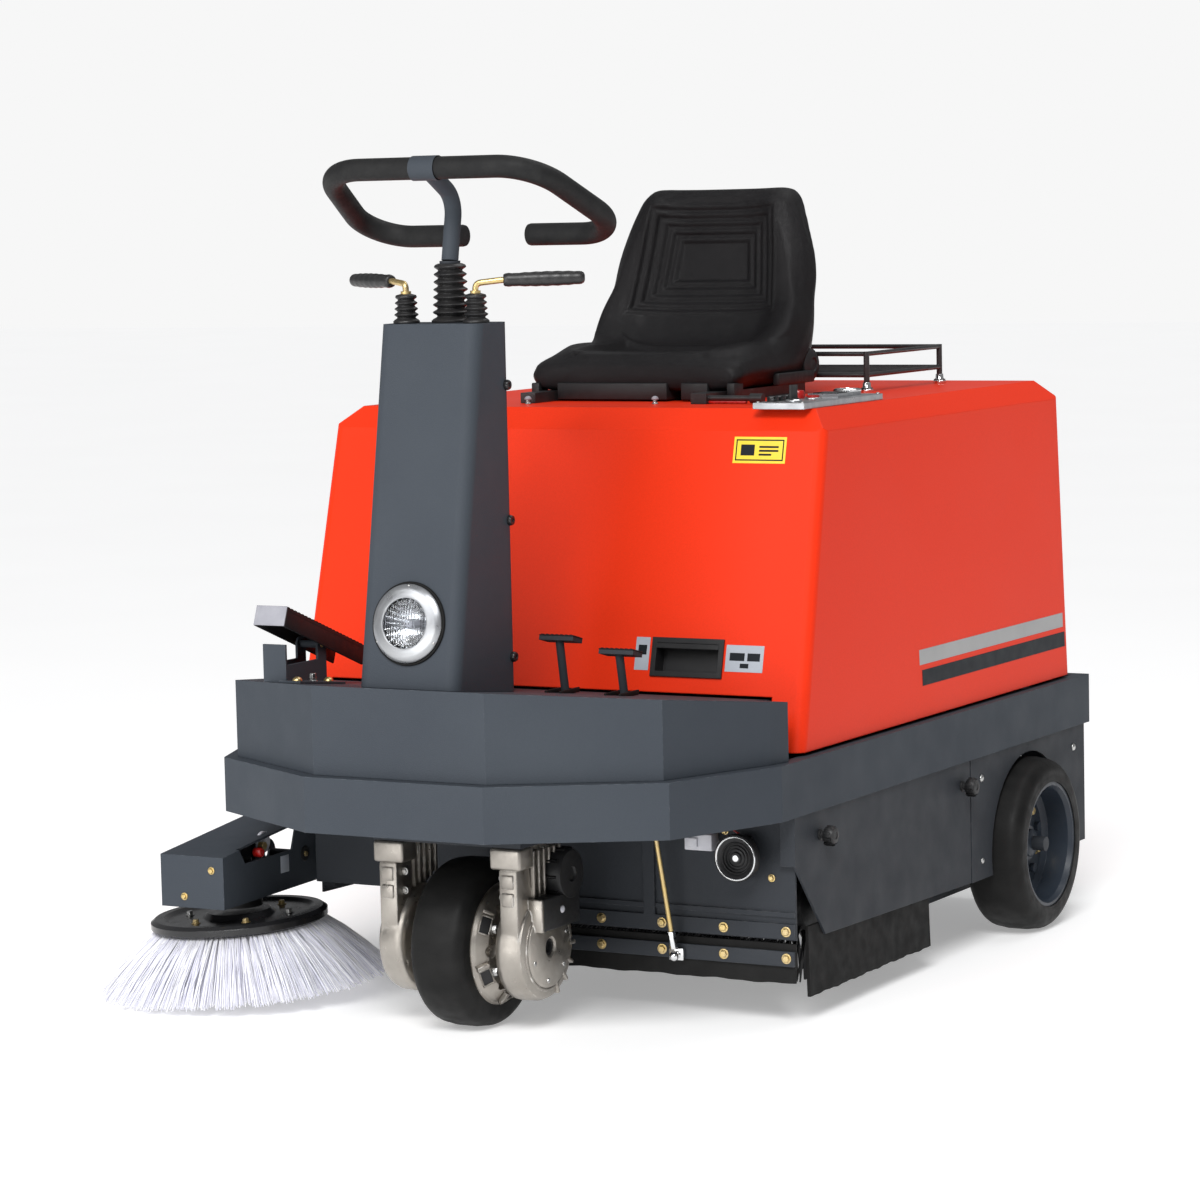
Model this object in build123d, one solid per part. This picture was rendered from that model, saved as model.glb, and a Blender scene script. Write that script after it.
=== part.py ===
from build123d import *
import math
import os

# Ride-on sweeper. Built in millimetres on the machine's centre plane:
# +X is the machine's left, +Y runs from the front to the rear, +Z is up, floor at Z = 0.
# save() moves every piece so that the origin is the middle of the machine's footprint.

# ---- driving dimensions ----
SHEET = 4.0
BODY_HALF = 480.0          # half width over the side bands
REAR_Y = 1561.5            # rear face of the band
TIER_STEP = 20.3           # lower tier stands out this far from the upper tier
UPPER_TIER = [(152.8, 0.0), (382.3, 131.9), (459.7, 333.2), (469.6, 374.5)]
BUMPER_Z = (328.2, 414.5)
DECK_Z, DECK_FALL = 552.2, 0.12      # deck height at the front and its fall per millimetre
DECK_EXT = (400.0, 458.0)            # half width and rear edge of the deck's tongue

HOOD_Z = (420.0, 912.0, 943.5)       # bottom, chamfer start, top
HOOD_FRONT = (427.5, 550.0)          # front face at the bottom and at the chamfer
HOOD_REAR = (1511.0, 1500.0)
HOOD_HALF = (466.0, 454.0)
HOOD_CHAMFER = 33.0
HOOD_HINGE = (1505.0, 431.0)          # y, z of the hinge pins
HINGE_X = (240.0, 300.0)
HINGE_R, HINGE_PIN_R = 7.0, 4.0

STEER_Y = 188.0
COLUMN_HALF = 88.0
COLUMN_Z = (549.0, 1096.0)
COLUMN_FRONT = (26.0, 118.0)
COLUMN_BACK = 214.0

FRONT_AXLE = (212.0, 132.0)          # y, z; the tyre's radius is the height
FRONT_TYRE_HALF = 47.0
FORK_IN, FORK_OUT, FORK_HUB_R = 82.0, 130.0, 84.0
DRIVE_MOTOR = (258.0, 240.0)          # y, z of the motor's shaft
REAR_AXLE = (1290.0, 150.0)
REAR_TYRE_X = (414.0, 518.0)
REAR_RIM_X = 436.0

MAIN_BRUSH = (700.0, 140.0, 138.0, 350.0)   # y, z, radius, half length
BRUSH_PIVOT = (930.0, 262.0)
SIDE_TIP = Vector(-491.0, 292.0, 15.7)      # centre of the circle of bristle tips
SIDE_TIP_R = 240.0
SIDE_LEAN = math.radians(3.5)
SIDE_LEAN_DIR = (-0.873, -0.488)
SIDE_PIVOT = (468.0, 198.0)

BAR_FRONT = (126.0, 1331.0)          # y, z of the handlebar's front run
BAR_REAR = (332.0, 1226.5)           # y, z of its rear run
BAR_R = 17.3
BAR_GAP = 62.0                      # half the gap between the grip ends
BAR_WIDTHS = (186.0, 233.0)         # half widths of the front and the rear run
LEVER_X, LEVER_Y, LEVER_Z = 62.0, 158.0, 1118.0

PEDAL_X = -272.0
PEDAL_PIVOT = (183.0, 592.0)
PEDAL_TILT = 21.0
TOE_PIVOT = (295.0, 465.0)
BRAKE_X, FLAP_PEDAL_X = 130.0, 235.0
FLAP_HINGE = (387.0, 131.0)
ROD_LOW = Vector(268.0, 366.0, 112.0)
ROD_HIGH = Vector(237.0, 333.0, 418.0)

ORIGIN = ((SIDE_TIP.X - SIDE_TIP_R + REAR_TYRE_X[1]) / 2, (REAR_Y - TIER_STEP) / 2)


# ---- helpers ----
def box(x0, x1, y0, y1, z0, z1):
    return Pos((x0 + x1) / 2, (y0 + y1) / 2, (z0 + z1) / 2) * Box(x1 - x0, y1 - y0, z1 - z0)


def rod(start, end, radius):
    start, end = Vector(*start), Vector(*end)
    plane = Plane(origin=(start + end) / 2, z_dir=end - start)
    return plane * Cylinder(radius, (end - start).length)


def rod_x(x0, x1, y, z, radius):
    return rod((x0, y, z), (x1, y, z), radius)


def rod_z(x, y, z0, z1, radius):
    return rod((x, y, z0), (x, y, z1), radius)


def both(shape):
    return shape + mirror(shape, about=Plane.YZ)


def prism_yz(points, x0, x1):
    """Extrude an outline given as (y, z) points from x0 to x1."""
    face = Plane(origin=(x0, 0, 0), x_dir=(0, 1, 0), z_dir=(1, 0, 0)) * make_face(Polyline(*points, close=True))
    return extrude(face, amount=x1 - x0, dir=(1, 0, 0))


def prism_xz(points, y0, y1):
    face = Plane(origin=(0, y0, 0), x_dir=(1, 0, 0), z_dir=(0, -1, 0)) * make_face(Polyline(*points, close=True))
    return extrude(face, amount=y1 - y0, dir=(0, 1, 0))


def prism_xy(points, z0, z1):
    return Pos(0, 0, z0) * extrude(make_face(Polyline(*points, close=True)), amount=z1 - z0)


def spun_x(points, x0, y, z):
    """Revolve (radius, offset along X) points about an axis along X."""
    face = Plane.XZ * make_face(Polyline(*points, close=True))
    return Pos(x0, y, z) * Rot(0, 90, 0) * revolve(face, Axis.Z)


def spun_z(points, place):
    face = Plane.XZ * make_face(Polyline(*points, close=True))
    return place * revolve(face, Axis.Z)


def mirrored_outline(half, rear):
    """Close a half outline on the machine's rear line."""
    half = half + [(half[-1][0], rear)]
    return half + [(-x, y) for x, y in reversed(half)]


def save(name, shape):
    os.makedirs("parts", exist_ok=True)
    export_step(Pos(-ORIGIN[0], -ORIGIN[1], 0) * shape, f"parts/{name}.step")


def deck_height(y):
    return DECK_Z - DECK_FALL * y


# ---- body panels ----
def lower_tier_points():
    half = []
    count = len(UPPER_TIER)
    normals = [(0.0, -1.0)]
    for (x0, y0), (x1, y1) in zip(UPPER_TIER, UPPER_TIER[1:]):
        length = math.hypot(x1 - x0, y1 - y0)
        normals.append(((y1 - y0) / length, -(x1 - x0) / length))
    for i in range(count - 1):
        (ax, ay), (bx, by) = normals[i], normals[i + 1]
        scale = TIER_STEP / (1 + ax * bx + ay * by)
        half.append((UPPER_TIER[i][0] + scale * (ax + bx), UPPER_TIER[i][1] + scale * (ay + by)))
    (x0, y0), (nx, ny) = half[1], normals[2]
    reach = (BODY_HALF - x0) / -ny
    return half[:2] + [(BODY_HALF, y0 + reach * nx)]


def make_front_bumper():
    points = mirrored_outline(lower_tier_points(), REAR_Y)
    plan = make_face(Polyline(*points, close=True))
    wall = plan - offset(plan, -SHEET, kind=Kind.INTERSECTION)
    flange = plan - offset(plan, -24, kind=Kind.INTERSECTION)
    low, high = BUMPER_Z
    ring = Pos(0, 0, low) * extrude(wall, amount=high - low)
    return ring + Pos(0, 0, high - SHEET) * extrude(flange, amount=SHEET)


def toe_slots():
    return [box(x - 10, x + 10, 250, 300, 480, 560) for x in (BRAKE_X, FLAP_PEDAL_X)]


def make_foot_deck():
    low = BUMPER_Z[1] + 0.3
    half_ext, rear_ext = DECK_EXT
    rear = UPPER_TIER[-1][1]
    outline = list(UPPER_TIER) + [(half_ext, rear), (half_ext, rear_ext)]
    tongue = outline + [(-x, y) for x, y in reversed(outline)]
    shell = mirrored_outline(UPPER_TIER[:-1], rear)
    shell[3], shell[4] = UPPER_TIER[-1], (-UPPER_TIER[-1][0], rear)
    plan = make_face(Polyline(*shell, close=True))
    wall = plan - offset(plan, -SHEET, kind=Kind.INTERSECTION)
    walls = Pos(0, 0, low) * extrude(wall, amount=DECK_Z - low)
    plate = prism_xy(tongue, 480, DECK_Z + 10)
    slope = [(-10, deck_height(-10)), (500, deck_height(500))]
    above = prism_yz(slope + [(500, 700), (-10, 700)], -600, 600)
    lowered = [(y, z - SHEET) for y, z in slope]
    below = prism_yz(lowered + [(500, 300), (-10, 300)], -600, 600)
    deck = (walls - above) + (plate - above - below)
    deck -= rod_z(0, STEER_Y, 480, 560, 30)
    for slot in toe_slots():
        deck -= slot
    return deck


def make_hood(inset):
    low, _, top = HOOD_Z
    top -= inset
    if inset:
        low -= 20
    lean = (HOOD_FRONT[1] - HOOD_FRONT[0]) / (HOOD_Z[1] - HOOD_Z[0])
    front = [HOOD_FRONT[0] + lean * (z - HOOD_Z[0]) + inset for z in (low, top)]
    side_run = (HOOD_HALF[0] - HOOD_HALF[1]) / (HOOD_Z[1] - HOOD_Z[0])
    half = [HOOD_HALF[0] - side_run * (z - HOOD_Z[0]) - inset for z in (low, top)]
    back = (HOOD_REAR[0] - inset, HOOD_REAR[1] - inset)
    cut = HOOD_CHAMFER
    side = [(front[0], low), (front[1] - lean * cut, top - cut), (front[1] + cut, top)]
    side += [(back[1] - cut, top), (back[1], top - cut), (back[0], low)]
    block = prism_yz(side, -600, 600)
    end = [(-half[0], low), (-half[1] - side_run * cut, top - cut), (cut - half[1], top)]
    end += [(-x, z) for x, z in reversed(end)]
    block &= prism_xz(end, 300, 1700)
    upright = [e for e in block.edges() if e.length > 300 and abs(e.tangent_at(0.5).Z) > 0.9]
    return fillet(upright, max(18 - inset, 6))


def hood_face_plane(x, z):
    lean = (HOOD_FRONT[1] - HOOD_FRONT[0]) / (HOOD_Z[1] - HOOD_Z[0])
    y = HOOD_FRONT[0] + lean * (z - HOOD_Z[0])
    return Plane(origin=(x, y, z), x_dir=(1, 0, 0), z_dir=(0, -1, lean))


HANDLE = hood_face_plane(251.5, 557.5)
HANDLE_SIZE = (127.0, 62.0)


def make_hood_shell():
    shell = make_hood(0) - make_hood(SHEET)
    shell -= box(-DECK_EXT[0] - 6, DECK_EXT[0] + 6, 400, 480, 400, 503)
    shell -= HANDLE * Box(HANDLE_SIZE[0] - 10, HANDLE_SIZE[1] - 10, 20)
    y, z = HOOD_HINGE
    x0, x1 = HINGE_X
    knuckles = both(rod_x(x0, x1, y, z, HINGE_R))
    notches = both(box(x1 + 0.3, x1 + 10.3, y - 12, y + 12, z - 20, z + 12))
    return shell + knuckles - notches - rod_x(-x1 - 12, x1 + 12, y, z, HINGE_PIN_R + 0.05)


def make_hood_handle():
    wide, tall = HANDLE_SIZE
    flange = HANDLE * Pos(0, 0, 1.7) * Box(wide, tall, 3)
    tray = HANDLE * Pos(0, 0, -13) * Box(wide - 10.6, tall - 10.6, 30)
    pocket = HANDLE * Pos(0, 0, -9) * Box(wide - 17, tall - 17, 32)
    lip = HANDLE * Pos(0, tall / 2 - 12, 0.2) * Box(wide - 17, 10, 4)
    return flange + tray - pocket + lip


def column_profile(inset):
    low, high = COLUMN_Z
    front_low, front_high = COLUMN_FRONT
    run = (front_high - front_low) / (high - low)
    top = high - inset
    base = low - 40
    points = [
        (front_low + inset - 40 * run, base),
        (front_high + inset, top),
        (COLUMN_BACK - inset, top),
        (COLUMN_BACK - inset, base),
    ]
    half = COLUMN_HALF - inset
    block = prism_yz(points, -half, half)
    upright = [e for e in block.edges() if abs(e.tangent_at(0.5).Z) > 0.9]
    return fillet(upright, 20 - inset)


def column_face_plane(z):
    run = (COLUMN_FRONT[1] - COLUMN_FRONT[0]) / (COLUMN_Z[1] - COLUMN_Z[0])
    y = COLUMN_FRONT[0] + run * (z - COLUMN_Z[0])
    return Plane(origin=(0, y, z), x_dir=(1, 0, 0), z_dir=(0, -1, run))


HEADLIGHT = column_face_plane(647.0)


def make_column():
    shell = column_profile(0) - column_profile(SHEET)
    under_deck = [(-60, deck_height(-60) + 0.3), (400, deck_height(400) + 0.3), (400, 300), (-60, 300)]
    shell -= prism_yz(under_deck, -300, 300)
    shell -= rod_z(0, STEER_Y, 1080, 1110, 21)
    for side in (-1, 1):
        shell -= rod_z(side * LEVER_X, LEVER_Y, 1080, 1110, 12)
    return shell - HEADLIGHT * Cylinder(48, 40)


def make_headlight_bezel():
    profile = [(49, 0.3), (60, 0.3), (60, 6), (55, 11), (49, 12)]
    bowl = [(47, 0.3), (47, 12), (46, 4), (38, -14), (16, -26), (0.1, -28)]
    bowl += [(0.1, -30), (17, -28), (40, -15), (47.5, 0.3)]
    return spun_z(profile, HEADLIGHT.location) + spun_z(bowl, HEADLIGHT.location)


def make_headlight_lens():
    profile = [(0.1, 17), (20, 16), (36, 13), (46.6, 8), (46.6, 5), (36, 10), (20, 13), (0.1, 14)]
    return spun_z(profile, HEADLIGHT.location)


# ---- frame ----
FRAME_Z = (330.0, 390.0)
RAIL_X = (400.0, 450.0)


def make_main_frame():
    """Welded members, each its own solid: rails, cross members, roof, plates and lugs."""
    low, high = FRAME_Z
    inner, outer = RAIL_X
    plan = [(150, 24), (365, 148), (430, 318), (430, 400)]
    plate = prism_xy(plan + [(-x, y) for x, y in reversed(plan)], 338, 346)
    plate += rod_z(0, STEER_Y, 322, 420, 34)
    plate -= rod_z(0, STEER_Y, 300, 430, 20.05)
    plate -= box(215, 265, 318, 370, 330, 350)
    members = [plate, box(-outer, outer, 400, 440, 340, high)]
    members.append(box(-inner, inner, 440, 1040, high - 6, high))
    for y0, y1 in ((1040, 1090), (1500, 1545)):
        members.append(box(-inner, inner, y0, y1, low, high))
    lugs = both(box(335, 347, BRUSH_PIVOT[0] - 16, BRUSH_PIVOT[0] + 16, 240, high - 6))
    members.append(lugs + rod_x(-372, 372, *BRUSH_PIVOT, 12))
    members.append(box(-430, -418, 445, 491, 165, low) + rod_x(-550, -425, *SIDE_PIVOT, 8))
    seat = box(457, 463, BRUSH_PIVOT[0] - 40, BRUSH_PIVOT[0] + 40, 215, 345)
    members.append(seat + box(outer, 463, BRUSH_PIVOT[0] - 40, BRUSH_PIVOT[0] + 40, 335, 345))
    hanger = box(inner, inner + 12, 1255, 1325, 118, low) + rod_x(inner, 508, *REAR_AXLE, 12.5)
    sided = [box(inner, outer, 440, 1545, low, high), hanger]
    sided += [box(outer, 475.7, y, y + 40, 345, 380) for y in (480, 1120)]
    y, z = HOOD_HINGE
    pin_end = HINGE_X[1] + 8.3
    lug = box(pin_end - 6, pin_end, y - 6, y + 6, high, z) + rod_x(pin_end - 6, pin_end, y, z, HINGE_R)
    sided.append(lug + rod_x(HINGE_X[0], pin_end, y, z, HINGE_PIN_R))
    members += sided + [mirror(piece, about=Plane.YZ) for piece in sided]
    return Compound(children=members)


def make_front_bulkhead():
    wall = box(-230, 470, 389, 393, 134, 337.7) + box(-410, -228, 389, 393, 171, 337.7)
    strip = box(-225, 470, 384.5, 389.2, 136, 160)
    ribs = box(206, 226, 383, 389.5, 160, 326) + box(-225, 470, 386, 389.5, 170, 178)
    return wall + strip + ribs


def panel_outline(front):
    if front < 400:
        return [(front, 327.8), (front, 251), (480, 130), (1041, 119), (1041, 327.8)]
    return [(front, 327.8), (front, 130), (1041, 119), (1041, 327.8)]


def make_side_panels():
    left = prism_yz(panel_outline(378), 472, 476) + box(450, 474, 378, 382, 251, 327.8)
    right = prism_yz(panel_outline(505), -476, -472) + box(-474, -450, 505, 509, 140, 327.8)
    return left + right


def make_side_skirts():
    return box(466, 471.6, 428, 878, 38, 150) + box(-471.6, -466, 760, 1000, 38, 150)


def make_rear_plates():
    plate = prism_yz([(1045, 327.8), (1045, 118), (1545, 118), (1545, 327.8)], 472, 476)
    plate -= rod_x(460, 490, *REAR_AXLE, 160)
    return both(plate + box(356, 476, 1541, 1545, 118, 327.8))


def make_machine_screws():
    heads = []
    for side in (-1, 1):
        for z in (583, 793, 1000):
            x = side * (COLUMN_HALF + 0.3)
            heads.append(rod_x(min(x, x + side * 6), max(x, x + side * 6), 198, z, 7))
        for y in (1088, 1493):
            x = side * 476.3
            heads.append(rod_x(min(x, x + side * 4), max(x, x + side * 4), y, 291, 5))
    for i in range(7):
        x = 455 - 108.6 * i
        heads.append(rod((x, 379, 148), (x, 384.3, 148), 6))
    for y in (82, 128, 170):
        z = deck_height(y) + 4.8
        heads.append(rod((-232, y, z), (-232, y, z + 6), 6))
    return Compound(children=heads)


def make_horn():
    centre, face_y = (390, 265), 342
    body = Plane(origin=(centre[0], face_y, centre[1]), x_dir=(1, 0, 0), z_dir=(0, 1, 0))
    points = [(0.1, 12), (28, 9), (31, 0), (36, 0), (36, 12), (26, 20), (22, 33), (0.1, 33)]
    disc = spun_z(points, body.location)
    strap = box(380, 400, 374, 388.7, 255, 275)
    return disc + strap


# ---- inside the body ----
def make_battery_pack():
    case = box(-300, 300, 500, 1030, 390.3, 660)
    lid = box(-290, 290, 510, 1020, 660, 672)
    posts = [rod_z(x, y, 672, 690, 9) for x in (-220, 220) for y in (570, 960)]
    pack = case + lid
    for post in posts:
        pack += post
    return pack


FAN_Y = 1270.0


def make_fan_housing():
    base = box(-300, 300, 1110, 1470, 390.4, 444) - box(-290, 290, 1120, 1460, 380, 434)
    volute = rod_z(0, FAN_Y, 444, 565, 130) - rod_z(0, FAN_Y, 452, 557, 118)
    inlet = rod_z(0, FAN_Y, 430, 460, 50)
    return base + volute - inlet - rod_z(0, FAN_Y, 550, 570, 8)


def make_fan_impeller():
    disc = rod_z(0, FAN_Y, 530, 536, 105) + rod_z(0, FAN_Y, 480, 562, 7)
    for i in range(9):
        disc += Pos(0, FAN_Y, 500) * Rot(0, 0, 40 * i) * Pos(72, 0, 0) * Box(60, 4, 62)
    return disc


def make_brush_motor():
    return rod_x(398, 456.7, *BRUSH_PIVOT, 46) + rod_x(374.6, 400, *BRUSH_PIVOT, 8)


def make_motor_pulley():
    wheel = spun_x([(8.05, 0), (28, 0), (28, 2), (24, 4), (24, 10), (28, 12), (28, 14), (8.05, 14)],
                   375, *BRUSH_PIVOT)
    return wheel


BELT_X = (379.6, 384.4)


def make_drive_belt():
    (y0, z0), (y1, z1) = MAIN_BRUSH[:2], BRUSH_PIVOT
    far = math.hypot(y1 - y0, z1 - z0)
    turn = math.degrees(math.atan2(z1 - z0, y1 - y0))

    def loop(r0, r1):
        c = (r0 - r1) / far
        s = math.sqrt(1 - c * c)
        body = [(r0 * c, r0 * s), (far + r1 * c, r1 * s), (far + r1 * c, -r1 * s), (r0 * c, -r0 * s)]
        face = make_face(Polyline(*body, close=True)) + Circle(r0) + Pos(far, 0) * Circle(r1)
        return face

    face = loop(50, 27.6) - loop(46.6, 24.4)
    plane = Plane(origin=(BELT_X[0], y0, z0), x_dir=(0, 1, 0), z_dir=(1, 0, 0))
    return plane * Rot(0, 0, turn) * extrude(face, amount=BELT_X[1] - BELT_X[0])


def make_brush_arms():
    (y0, z0), (y1, z1) = MAIN_BRUSH[:2], BRUSH_PIVOT
    far = math.hypot(y1 - y0, z1 - z0)
    turn = math.degrees(math.atan2(z1 - z0, y1 - y0))
    place = Plane(origin=(360, y0, z0), x_dir=(0, 1, 0), z_dir=(1, 0, 0))
    bar = place * Rot(0, 0, turn) * Pos(far / 2, 0, 4) * Box(far, 40, 8)
    arm = bar + rod_x(360, 368, y0, z0, 26) + rod_x(360, 368, y1, z1, 26)
    arms = both(arm) + rod_x(-362, 362, 880, 222, 13)
    arms -= rod_x(-400, 400, y1, z1, 12.05)
    return arms - rod_x(-400, 400, y0, z0, 14.05)


def make_brush_core():
    y, z, _, half = MAIN_BRUSH
    core = rod_x(-half, half, y, z, 52) + rod_x(-370, 374, y, z, 14)
    pulley = [(0.1, 0), (50, 0), (50, 2), (46, 4), (46, 10), (50, 12), (50, 14), (0.1, 14)]
    return core + spun_x(pulley, 375, y, z) + rod_x(373, 376, y, z, 14)


def make_brush_bristles():
    y, z, radius, half = MAIN_BRUSH
    return rod_x(-half + 6, half - 6, y, z, radius) - rod_x(-half, half, y, z, 52)


# ---- steering and front wheel ----
def make_fork_crown():
    crown = box(-132, 132, 132, 244, 296.3, 311) + rod_z(0, STEER_Y, 310, 321, 32)
    return crown + rod_z(0, STEER_Y, 311, 432, 20) + rod_z(0, STEER_Y, 430, 1190, 16)


def fork_cheek():
    y, z = FRONT_AXLE
    hub = rod_x(FORK_IN, FORK_OUT, y, z, FORK_HUB_R)
    leg = box(92, 124, 134, 168, z, 296) + box(78, 132, 130, 170, 266, 296)
    web = box(100, 118, 160, 262, 180, 296)
    cheek = hub + leg + web
    for i in range(5):
        cheek += box(98, 128, 178 + 18 * i, 184 + 18 * i, 205 + 5 * i, 284)
    cheek += rod_x(128, FORK_OUT + 3, y, z, 62)
    return cheek - rod_x(120, 140, y, z, 12)


def make_fork_left():
    return fork_cheek() + rod_x(-81.7, FORK_IN + 2, *FRONT_AXLE, 15)


def make_fork_right():
    return mirror(fork_cheek(), about=Plane.YZ)


def make_drive_motor():
    return rod_x(130.4, 150, *DRIVE_MOTOR, 40) + rod_x(128, 131, *DRIVE_MOTOR, 26)


def make_front_tyre():
    half, outer = FRONT_TYRE_HALF, FRONT_AXLE[1]
    points = [(96, -half), (outer - 12, -half), (outer - 3, -half + 7), (outer, -half + 18)]
    points += [(r, -x) for r, x in reversed(points)]
    return spun_x(points, 0, *FRONT_AXLE)


def make_front_hub():
    points = [(15.05, -79), (34, -79), (40, -70), (72, -66), (88, -52), (92, -46), (96, -46)]
    points += [(r, -x) for r, x in reversed(points)]
    hub = spun_x(points, 0, *FRONT_AXLE)
    for i in range(6):
        for side in (-1, 1):
            angle = math.radians(60 * i)
            y = FRONT_AXLE[0] + 64 * math.cos(angle)
            z = FRONT_AXLE[1] + 64 * math.sin(angle)
            hub -= rod_x(side * 65 - 8, side * 65 + 8, y, z, 11)
    return hub


def bar_plane():
    run = Vector(0, BAR_REAR[0] - BAR_FRONT[0], BAR_REAR[1] - BAR_FRONT[1])
    normal = Vector(1, 0, 0).cross(run)
    return Plane(origin=(0, *BAR_FRONT), x_dir=(1, 0, 0), z_dir=normal), run.length


def make_handlebar():
    plane, depth = bar_plane()
    front, rear = BAR_WIDTHS
    half = [(BAR_GAP, depth), (rear, depth), (front, 0)]
    corners = half + [(-x, y) for x, y in reversed(half)]
    points = [plane.from_local_coords(Vector(x, y, 0)) for x, y in corners]
    path = FilletPolyline(*points, radius=[66, 80, 80, 66])
    return sweep(Plane(origin=path @ 0, z_dir=path % 0) * Circle(BAR_R), path=path)


def make_stem():
    points = [(0, STEER_Y, 1190), (0, 206, 1285), (0, *BAR_FRONT)]
    path = FilletPolyline(*points, radius=42)
    tube = sweep(Plane(origin=path @ 0, z_dir=path % 0) * Circle(13), path=path)
    clamp = rod_x(-22, 22, *BAR_FRONT, 19)
    return tube + clamp - rod_x(-40, 40, *BAR_FRONT, BAR_R + 0.05)


def boot_profile(low, high, inner, outer, folds):
    step = (high - low) / (2 * folds)
    outside = [(outer if i % 2 == 0 else outer * 0.74, low + i * step) for i in range(2 * folds + 1)]
    return [(inner, low)] + outside + [(inner, high)]


def make_rubber_boots():
    top = COLUMN_Z[1] + 0.3
    boots = [spun_z(boot_profile(top, 1186, 18, 28, 7), Location((0, STEER_Y, 0)))]
    for side in (-1, 1):
        place = Location((side * LEVER_X, LEVER_Y, 0))
        boots.append(spun_z(boot_profile(top, 1136, 12.6, 19, 3), place))
    return Compound(children=boots)


def lever(side):
    points = [(LEVER_X, LEVER_Y, LEVER_Z), (LEVER_X, LEVER_Y, 1154), (96, 176, 1159), (202, 235, 1161)]
    points = [(side * x, y, z) for x, y, z in points]
    path = FilletPolyline(*points[:3], radius=10)
    arm = sweep(Plane(origin=path @ 0, z_dir=path % 0) * Circle(5), path=path)
    grip = rod(points[2], points[3], 11)
    x = side * LEVER_X
    pin = rod_x(x - 9.5, x + 9.5, LEVER_Y, LEVER_Z, 3)
    return arm + grip + Pos(*points[0]) * Sphere(8) + pin


# ---- rear wheels ----
def rear_tyre():
    x0, x1 = REAR_TYRE_X
    wide, outer = x1 - x0, REAR_AXLE[1]
    points = [(108, 0), (outer - 22, 0), (outer - 8, 6), (outer, 22)]
    points += [(r, wide - x) for r, x in reversed(points)]
    return spun_x(points, x0, *REAR_AXLE)


def rear_rim():
    points = [(12.55, 2), (30, 2), (30, 20), (92, 20), (100, 14), (100, -20), (108, -20), (108, 80)]
    points += [(102, 80), (98, 72), (98, 34), (86, 27), (34, 27), (30, 40), (12.55, 40)]
    rim = spun_x(points, REAR_RIM_X, *REAR_AXLE)
    for i in range(5):
        angle = math.radians(72 * i + 90)
        y = REAR_AXLE[0] + 62 * math.cos(angle)
        z = REAR_AXLE[1] + 62 * math.sin(angle)
        rim += rod_x(REAR_RIM_X + 26, REAR_RIM_X + 35, y, z, 8)
    return rim


# ---- side brush ----
def side_axis():
    lean_x, lean_y = SIDE_LEAN_DIR
    return Vector(lean_x * math.sin(SIDE_LEAN), lean_y * math.sin(SIDE_LEAN), math.cos(SIDE_LEAN))


SIDE_PLACE = Plane(origin=SIDE_TIP, z_dir=side_axis()).location


def make_side_plate():
    points = [(0.1, 98), (138, 98), (145, 102), (145, 112), (138, 117), (124, 117), (116, 112)]
    points += [(60, 112), (52, 120), (0.1, 120)]
    return spun_z(points, SIDE_PLACE)


def make_side_bristles():
    return spun_z([(96, 97.7), (138, 97.7), (SIDE_TIP_R, 0), (172, 0)], SIDE_PLACE)


ARM_X = (-568.0, -446.0)


def arm_outline(inset):
    return [
        (173 + inset, 156 + inset),
        (173 + inset, 241 - inset),
        (451, 272 - inset),
        (451, 163 + inset),
    ]


def make_side_arm():
    x0, x1 = ARM_X
    outer = prism_yz(arm_outline(0), x0, x1)
    inner = prism_yz([(y + (10 if y > 400 else 0), z) for y, z in arm_outline(3)], x0 + 3, x1 - 3)
    shell = outer - inner
    shell -= prism_yz([(212, 260), (236, 222), (372, 224), (392, 280)], x1 - 8, x1 + 8)
    shell -= SIDE_PLACE * Pos(0, 0, 140) * Cylinder(44, 60)
    for x in (x0 + 3, x1 - 9):
        shell += box(x, x + 6, 430, 468, 174, 222) + rod_x(x, x + 6, *SIDE_PIVOT, 24)
    return shell - rod_x(-600, -400, *SIDE_PIVOT, 8.05)


def make_side_motor():
    body = SIDE_PLACE * Pos(0, 0, 160) * Cylinder(40, 72)
    return body + SIDE_PLACE * Pos(0, 0, 199) * Cylinder(28, 8) - box(-700, -300, 100, 500, 100, 143)


# ---- pedals and front flap ----
def make_pedal_bracket():
    x = PEDAL_X
    y, z = PEDAL_PIVOT
    base = deck_height(200) - 4
    cheek = box(x + 17, x + 21, 84, y + 12, base, z - 22) + rod_x(x + 17, x + 21, y, z, 12)
    cheek += box(x + 17, x + 21, y - 12, y + 12, base, z)
    bracket = cheek + mirror(cheek, about=Plane.YZ.offset(x))
    bracket += box(x - 21, x + 21, 80, 84, base, 602) + rod_x(x - 21, x + 21, y, z, 6)
    foot = box(x + 17, x + 56, 66, y + 12, base, 570)
    top = [(40, deck_height(40)), (400, deck_height(400))]
    above = prism_yz([(v, w + 4) for v, w in top] + [(400, 700), (40, 700)], -400, 0)
    under = prism_yz([(v, w + 0.3) for v, w in top] + [(400, 300), (40, 300)], -400, 0)
    bracket = bracket + (foot - above) - under
    solids = [bracket]
    for toe_x in (BRAKE_X, FLAP_PEDAL_X):
        y, z = TOE_PIVOT
        hanger = box(toe_x + 20, toe_x + 24, y - 14, y + 14, z - 12, deck_height(y) - 7)
        hanger += mirror(hanger, about=Plane.YZ.offset(toe_x))
        solids.append(hanger + rod_x(toe_x - 22, toe_x + 22, y, z, 6))
    return Compound(children=solids)


def make_drive_pedal():
    y, z = PEDAL_PIVOT
    place = Pos(PEDAL_X, y, z + 12) * Rot(-PEDAL_TILT, 0, 0)
    body = place * Box(58, 236, 30) - place * Pos(0, 4, -6) * Box(50, 240, 30)
    tread = place * Pos(0, 0, 16.5) * Box(52, 220, 3)
    return body + tread


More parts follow.
